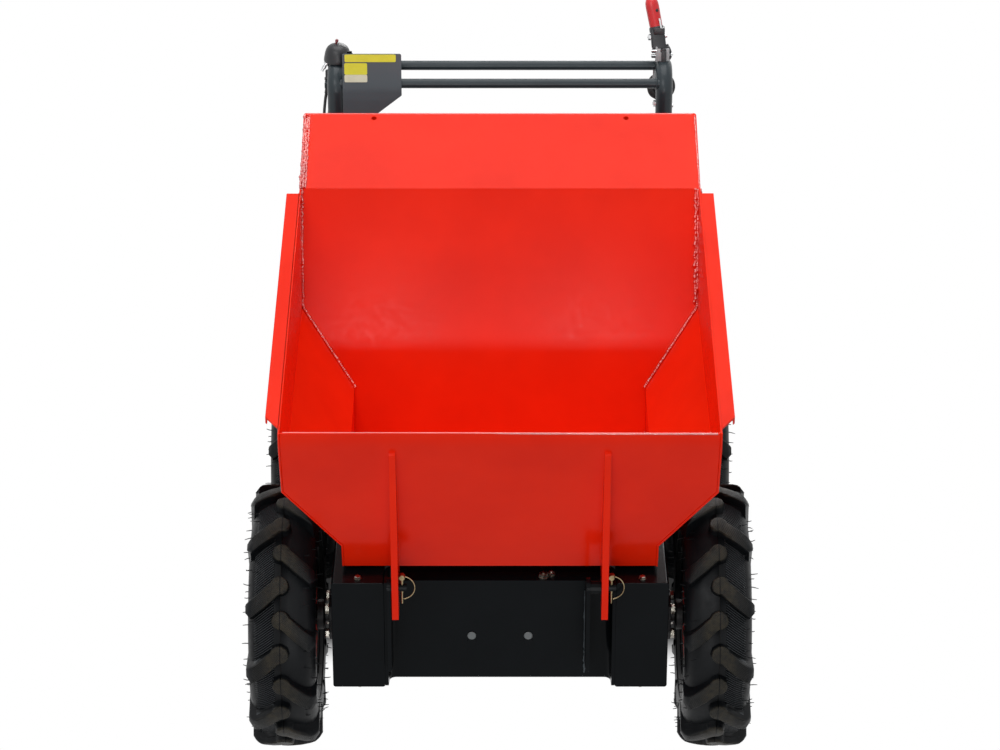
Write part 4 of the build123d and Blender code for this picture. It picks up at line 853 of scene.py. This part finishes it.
def handlebar():
    """Two hooked uprights with feet and two cross bars, their beads and bolts, and the cables' upper ends."""
    shape, beads = Shape(), Shape()
    for side in (-1, 1):
        line = rounded_line([behind(side * x, y, z) for x, y, z in HANDLE], HANDLE_BENDS)
        shape.bar(line, HANDLE_R, 40)
        foot = Vector((line[0].x, line[0].y, DECK_TOP))
        shape.add(lathe([(0, 0), (0.02, 0), (0.02, 0.0068), (0.0188, 0.008), (0.014, 0.008)], 40),
                  Matrix.Translation(foot))
        weld(beads, [foot + Vector((0.0152 * math.cos(a), 0.0152 * math.sin(a), 0.0085))
                     for a in (math.tau * i / 40 for i in range(41))], 0.0034, 61 + side)
        for y, z in CROSSBARS:
            ring = [behind(side * (HANDLE_X - 0.0125), y + 0.0082 * math.cos(a), z + 0.0082 * math.sin(a))
                    for a in (math.tau * i / 24 for i in range(25))]
            weld(beads, ring, 0.0032, 71 + side)
    for y, z in CROSSBARS:
        shape.bar([behind(-HANDLE_X, y, z), behind(HANDLE_X, y, z)], 0.008, 32)
    shape.block((0.022, 0.023, 0.01), 0.0012, behind(-0.2835, 0.7565, 0.798))
    shape.piece("handlebar_look", "chassis_black", "handle_black", ["handlebar"])
    beads.piece("handlebar_welds", "chassis_black", "handle_black", sharp=60)
    bolts, fittings = Shape(), Shape()
    bolt(bolts, behind(HANDLE_X - HANDLE_R + 0.001, 0.69, 0.787), (-1, 0, 0), 0.006, 0.001)
    bolt(bolts, behind(HANDLE_X + HANDLE_R - 0.001, 0.7, 0.78), (1, 0, 0), 0.004, 0.0)
    for points in (THROTTLE_CABLE, STOP_CABLE):
        at = behind(*(c / 1000 for c in points[0]))
        profile = [(0.0028, -0.007), (0.004, -0.006), (0.004, 0), (0.0052, 0), (0.0052, 0.004), (0.0036, 0.005),
                   (0.0036, 0.016), (0.002, 0.018), (0, 0.018)]
        fittings.add(lathe(profile, 20), Matrix.Translation(at + Vector((0, 0, 0.01))))
    bolts.piece("handlebar_bolts", "zinc_steel", "bright_steel", sharp=35)
    fittings.piece("cable_fittings", "control_plastic", sharp=35)


def grips():
    """Ribbed rubber grips over the ends of the handles, each with its flange."""
    shape = Shape()
    run = (Vector(HANDLE[-1]) - Vector(HANDLE[-2])).normalized()
    x, y, z = HANDLE[-1]
    for side in (-1, 1):
        start = behind(side * x, y, z) - run * 0.128
        profile = [(0.0142, 0.0), (0.0228, 0.0), (0.024, 0.0014), (0.024, 0.0036), (0.0228, 0.005),
                   (0.019, 0.0056), (0.0172, 0.0074)]
        for i in range(13):
            rib = 0.0095 + i * 0.0086
            profile += [(0.0166, rib), (0.0175, rib + 0.0013), (0.0175, rib + 0.0058), (0.0166, rib + 0.0071)]
        profile += [(0.0166, 0.1245), (0.0175, 0.1258), (0.0172, 0.1295), (0.015, 0.1318), (0, 0.132)]
        shape.turned(profile, 44, start, run)
    shape.piece("hand_grips_look", "grip_rubber", replaces=["hand_grips"], sharp=50)


def panel():
    """Control panel with its blank plates and bolts."""
    low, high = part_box("control_panel")
    bevelled("control_panel", 0.0007)
    yellow, pale, bolts = Shape(), Shape(), Shape()
    upright = Matrix.Translation((0, low.y - 0.0002, 0)) @ Matrix.Rotation(math.pi / 2, 4, "X")

    def plate(shape, x0, x1, z0, z1):
        r = 0.0015
        corners = [(x0 + r, z0), (x1 - r, z0), (x1, z0 + r), (x1, z1 - r), (x1 - r, z1), (x0 + r, z1), (x0, z1 - r),
                   (x0, z0 + r)]
        shape.add(prism(corners, -0.0002, 0.0003), upright)

    plate(yellow, low.x + 0.004, low.x + 0.0885, high.z - 0.014, high.z - 0.001)
    plate(yellow, low.x + 0.0032, low.x + 0.041, high.z - 0.036, high.z - 0.016)
    plate(pale, low.x + 0.0032, low.x + 0.041, high.z - 0.0492, high.z - 0.0362)
    yellow.piece("panel_stickers", "panel_blue_grey", "sticker_yellow")
    pale.piece("panel_sticker_foot", "panel_blue_grey", "sticker_pale")
    for x in (low.x + 0.0225, low.x + 0.0745):
        bolt(bolts, behind(x, 0.702, 0.8423), (0, 0, 1), 0.005, 0.001)
    bolt(bolts, behind(-0.2485, 0.684, 0.8765), (0, 0.2, 1), 0.005, 0.0)
    bolts.piece("panel_bolts", "chassis_black", sharp=30)


def throttle():
    """Domed throttle housing on the right handle's bend, its red button and the cable's adjuster."""
    shape = Shape()
    at = behind(-0.2702, 0.722, 0.8513)
    dome = [(0, 0.002), (0.0205, 0.0015), (0.0226, 0), (0.023, 0.0022), (0.0221, 0.008), (0.0208, 0.0145),
            (0.0192, 0.0195), (0.0166, 0.0238), (0.013, 0.0268), (0.0085, 0.0287), (0.004, 0.0296), (0, 0.0298)]
    foot = [(0, -0.01), (0.0165, -0.01), (0.018, -0.008), (0.018, 0.003), (0, 0.003)]
    shape.add(lathe(dome, 56), Matrix.Translation(at))
    shape.add(lathe(foot, 40), Matrix.Translation(at))
    shape.piece("switch_housing_look", "control_plastic", replaces=["switch_housing"])
    profile = [(0, -0.001), (0.0016, -0.001), (0.0016, 0.0028), (0.0027, 0.004), (0.0029, 0.0062),
               (0.0018, 0.0082), (0, 0.0086)]
    button = Shape().turned(profile, 20, at + Vector((-0.0025, 0, 0.0292)), (0.35, 0, 1))
    button.piece("throttle_button", "control_plastic", "button_red")
    profile = [(0, -0.004), (0.0046, -0.004), (0.0046, 0.0035), (0.0026, 0.0038), (0.0026, 0.0065), (0.0033, 0.0068),
               (0.0033, 0.0125), (0.0024, 0.0128), (0.0024, 0.0175), (0, 0.0175)]
    adjuster = Shape().turned(profile, 18, at + Vector((-0.0175, -0.005, -0.001)), (-0.5, -0.1, -0.86))
    adjuster.piece("cable_adjuster", "zinc_steel", "bright_steel", sharp=30)


def lever():
    """Hand lever on the left handle's bend: silver bracket, black body with side bolts, and the red grip."""
    black, silver, red, nuts, collar = (Shape() for _ in range(5))
    silver.block((0.0215, 0.02, 0.0225), 0.0012, behind(0.2707, 0.7245, 0.8632))
    silver.block((0.0035, 0.02, 0.0265), 0.0008, behind(0.26, 0.7245, 0.864))
    black.turned([(0, -0.0015), (0.0042, -0.0015), (0.005, 0.0), (0.0042, 0.0022), (0, 0.0026)], 24,
                 behind(0.2712, 0.714, 0.8712), (0, -1, 0))
    black.block((0.008, 0.0034, 0.03), 0.001, behind(0.272, 0.7125, 0.856))
    low = [(0.252, 0.714), (0.277, 0.714), (0.277, 0.736), (0.252, 0.736)]
    high = [(0.2495, 0.726), (0.272, 0.726), (0.272, 0.745), (0.2495, 0.745)]
    # The body: a block that leans to the rear, with rounded edges.
    work = bmesh.new()
    rows = [[work.verts.new(behind(x, y, z)) for x, y in ring] for ring, z in ((low, 0.8725), (high, 0.906))]
    work.faces.new(rows[0][::-1])
    work.faces.new(rows[1])
    for i in range(4):
        j = (i + 1) % 4
        work.faces.new((rows[0][i], rows[0][j], rows[1][j], rows[1][i]))
    round_edges(work, work.edges[:], 0.0034, 4)
    work.verts.index_update()
    black.add(form_of(work))
    black.block((0.0235, 0.016, 0.0035), 0.001, behind(0.269, 0.724, 0.8755))
    black.block((0.019, 0.016, 0.012), 0.002, behind(0.264, 0.73, 0.901))
    for z, y in ((0.869, 0.719), (0.86, 0.72)):
        black.block((0.0085, 0.006, 0.006), 0.0012, behind(0.256, y, z))
        nuts.turned([(0, -0.006), (0.0016, -0.006), (0.0016, 0.0035), (0, 0.0038)], 12,
                    behind(0.2545, y - 0.004, z + 0.002), (-1, 0, 0))
    hook = [behind(0.2765, 0.722, 0.879), behind(0.2805, 0.7205, 0.874), behind(0.2832, 0.7195, 0.867),
            behind(0.2838, 0.719, 0.86), behind(0.2815, 0.719, 0.8545)]
    black.bar(smooth(hook, 18), 0.0021, 12)
    nuts.turned([(0, -0.001), (0.0022, -0.001), (0.0028, 0.001), (0.0022, 0.004), (0, 0.0046)], 14,
                behind(0.2838, 0.7175, 0.864), (0.5, -1, 0))
    foot, tip = behind(0.26, 0.7355, 0.903), behind(0.2512, 0.75, 0.9455)
    lean = (tip - foot).normalized()
    red.turned([(0, -0.002), (0.0096, -0.002), (0.0104, 0.0), (0.0108, 0.006), (0.0109, 0.016), (0.0111, 0.028),
                (0.0112, 0.036), (0.0108, 0.0425), (0.0092, 0.048), (0.006, 0.0515), (0, 0.053)], 44, foot, lean)
    front = Vector((0, -1, 0))
    front = (front - lean * front.dot(lean)).normalized()
    aside = lean.cross(front)
    if aside.x < 0:
        aside.negate()
    spot = foot + lean * 0.029 + (aside * 0.6 + front * 0.8).normalized() * 0.0098
    collar.turned([(0, -0.001), (0.0024, -0.001), (0.003, 0.0008), (0.0024, 0.002), (0, 0.0024)], 20,
                  spot, aside * 0.6 + front * 0.8)
    collar.turned([(0.0085, -0.0065), (0.0118, -0.0065), (0.0124, -0.0045), (0.0122, 0.001), (0.0112, 0.003),
                   (0.0104, 0.003)], 44, foot, lean)
    pin = foot + lean * 0.004 + (aside * 0.62 + front * 0.78).normalized() * 0.0126
    nuts.bar([pin - lean * 0.0075, pin + lean * 0.011], 0.0017, 12)
    bolt(nuts, behind(0.2506, 0.729, 0.8895), (-1, 0, 0.1), 0.0055, 0.001)
    bolt(nuts, behind(0.2742, 0.729, 0.8925), (1, 0, 0.1), 0.0045, 0.0)
    nuts.bar([behind(0.2565, 0.74, 0.844), behind(0.2572, 0.742, 0.812)], 0.0013, 10)
    black.piece("control_lever_look", "control_plastic", replaces=["control_lever"])
    silver.piece("lever_bracket", "zinc_steel", "bracket_zinc")
    red.piece("lever_grip", "grip_rubber", "grip_red")
    collar.piece("lever_collar", "control_plastic")
    nuts.piece("lever_bolts", "zinc_steel", "bright_steel", sharp=30)


def cables():
    """Throttle cable and stop cable, clipped to the right handle, with their end sleeves."""
    shape, clips = Shape(), Shape()
    for points in (THROTTLE_CABLE, STOP_CABLE):
        line = smooth([behind(*(c / 1000 for c in point)) for point in points], 90)
        shape.bar(line, 0.0025, 16)
        for a, b in ((line[0], line[3]), (line[-1], line[-4])):
            shape.bar([a, a + (b - a).normalized() * 0.014], [0.0036, 0.0033], 16)
    for z in (0.7, 0.61):
        ring = [behind(-0.279 + 0.0215 * math.cos(a), 0.7 + 0.0275 * math.sin(a), z + 0.002 * math.sin(2 * a))
                for a in (math.tau * i / 40 for i in range(40))]
        clips.bar(ring, 0.0012, 6, closed=True)
    shape.piece("control_cables_look", "control_plastic", "cable_black", ["control_cables"])
    clips.piece("cable_ties", "control_plastic", "cable_black")


handlebar()
grips()
panel()
throttle()
lever()
cables()


# ---------------- engine
bevelled_nodes({"engine_block": 0.0025, "engine_cylinder": 0.0006, "fuel_tank": 0.006, "muffler": 0.0015,
                "air_filter": 0.003, "recoil_starter": 0.0015, "carburettor": 0.0015, "belt_guard": 0.0020}, 3)


# ---------------- stage, light and camera
FLOOR_REACH = 30
# What is left of the floor's white in the middle of the painted shadow under the machine.
PAINTED_SHADOW_DARKEST = 0.03


def floor():
    """Grey floor that shows white round the machine, with a painted soft shadow under it."""
    corners = [(x * FLOOR_REACH, y * FLOOR_REACH, 0) for x, y in ((-1, -1), (1, -1), (1, 1), (-1, 1))]
    mesh = Shape().add((corners, [(0, 1, 2, 3)])).mesh("floor")
    new_object("floor", mesh)
    material = bpy.data.materials.new("floor_white")
    material.use_nodes = True
    nodes = Nodes(material.node_tree)
    shader = nodes.tree.nodes["Principled BSDF"]
    shader.inputs["Roughness"].default_value = 0.9
    shader.inputs["Base Color"].default_value = (0.42, 0.42, 0.42, 1)
    x, y, _ = nodes.axes(nodes.node("ShaderNodeTexCoord").outputs["Object"])
    # Each pair runs from the edge of the painted shadow, where it starts, to where it is full.
    across = nodes.span(nodes.math("ABSOLUTE", x), 0.41, 0.31, kind="SMOOTHSTEP")
    along = nodes.times(nodes.span(y, -0.175, -0.055, kind="SMOOTHSTEP"),
                       nodes.span(y, 0.72, 0.28, kind="SMOOTHSTEP"))
    # Painted shadow: the floor's white glow is darkened under the machine.
    shade = nodes.span(nodes.times(across, along), 0.0, 1.0, 1.0, PAINTED_SHADOW_DARKEST)
    glow = nodes.node("ShaderNodeEmission", {"Strength": shade})
    blend = nodes.node("ShaderNodeMixShader", {0: nodes.seen(), 1: shader.outputs[0], 2: glow.outputs[0]})
    nodes.tree.links.new(blend.outputs[0], nodes.tree.nodes["Material Output"].inputs["Surface"])
    mesh.materials.append(material)


def studio():
    """World that shows white and lights the machine more from above than from the side."""
    world = bpy.data.worlds.new("studio")
    bpy.context.scene.world = world
    world.use_nodes = True
    nodes = Nodes(world.node_tree)
    background = nodes.tree.nodes["Background"]
    background.inputs["Color"].default_value = (1, 1, 1, 1)
    height = nodes.axes(nodes.node("ShaderNodeTexCoord").outputs["Generated"])["Z"]
    sky = nodes.span(height, 0.0, 0.9, 0.16, 0.62)
    strength = nodes.node("ShaderNodeMix", {0: nodes.seen(), 2: sky, 3: 1.0})
    nodes.tree.links.new(strength.outputs[0], background.inputs["Strength"])


def lamp(name, at, to, size, power):
    """Soft rectangular lamp at a point that faces another one."""
    light = bpy.data.lights.new(name, "AREA")
    light.shape = "RECTANGLE"
    light.size, light.size_y = size
    light.energy = power
    stand = new_object(name, light)
    stand.location = at
    stand.rotation_euler = (Vector(to) - Vector(at)).to_track_quat("-Z", "Y").to_euler()


def camera():
    """The photograph's view: from the front, looking down by 25 degrees, through a long lens."""
    data = bpy.data.cameras.new("camera")
    data.lens = 115.2
    data.sensor_width = 36.0
    eye = new_object("camera", data)
    eye.location = (0.0, FRONT_Y - 4.3273, 2.628)
    eye.rotation_euler = (math.radians(65), 0, 0)
    bpy.context.scene.camera = eye


floor()
studio()
for lamp_name, lamp_x in (("front_left", -0.327), ("front_right", 0.255)):
    lamp(lamp_name, (lamp_x, FRONT_Y - 3.3, 1.22), (0, 0.1, 0.5), (0.14, 0.14), 4.0)
lamp("front_low", (0.0, -4.3, 0.36), (0, -0.5, 0.45), (2.4, 0.5), 21)
lamp("front_soft", (-1.3, -3.5, 3.5), (0, -0.2, 0.4), (2.2, 1.2), 42)
lamp("overhead", (0.0, 0.35, 3.3), (0, 0, 0.3), (2.6, 2.2), 46)
lamp("rear_fill", (0.6, 3.0, 2.0), (0, 0, 0.5), (1.6, 1.2), 38)
camera()
bpy.context.scene.view_settings.view_transform = "Standard"
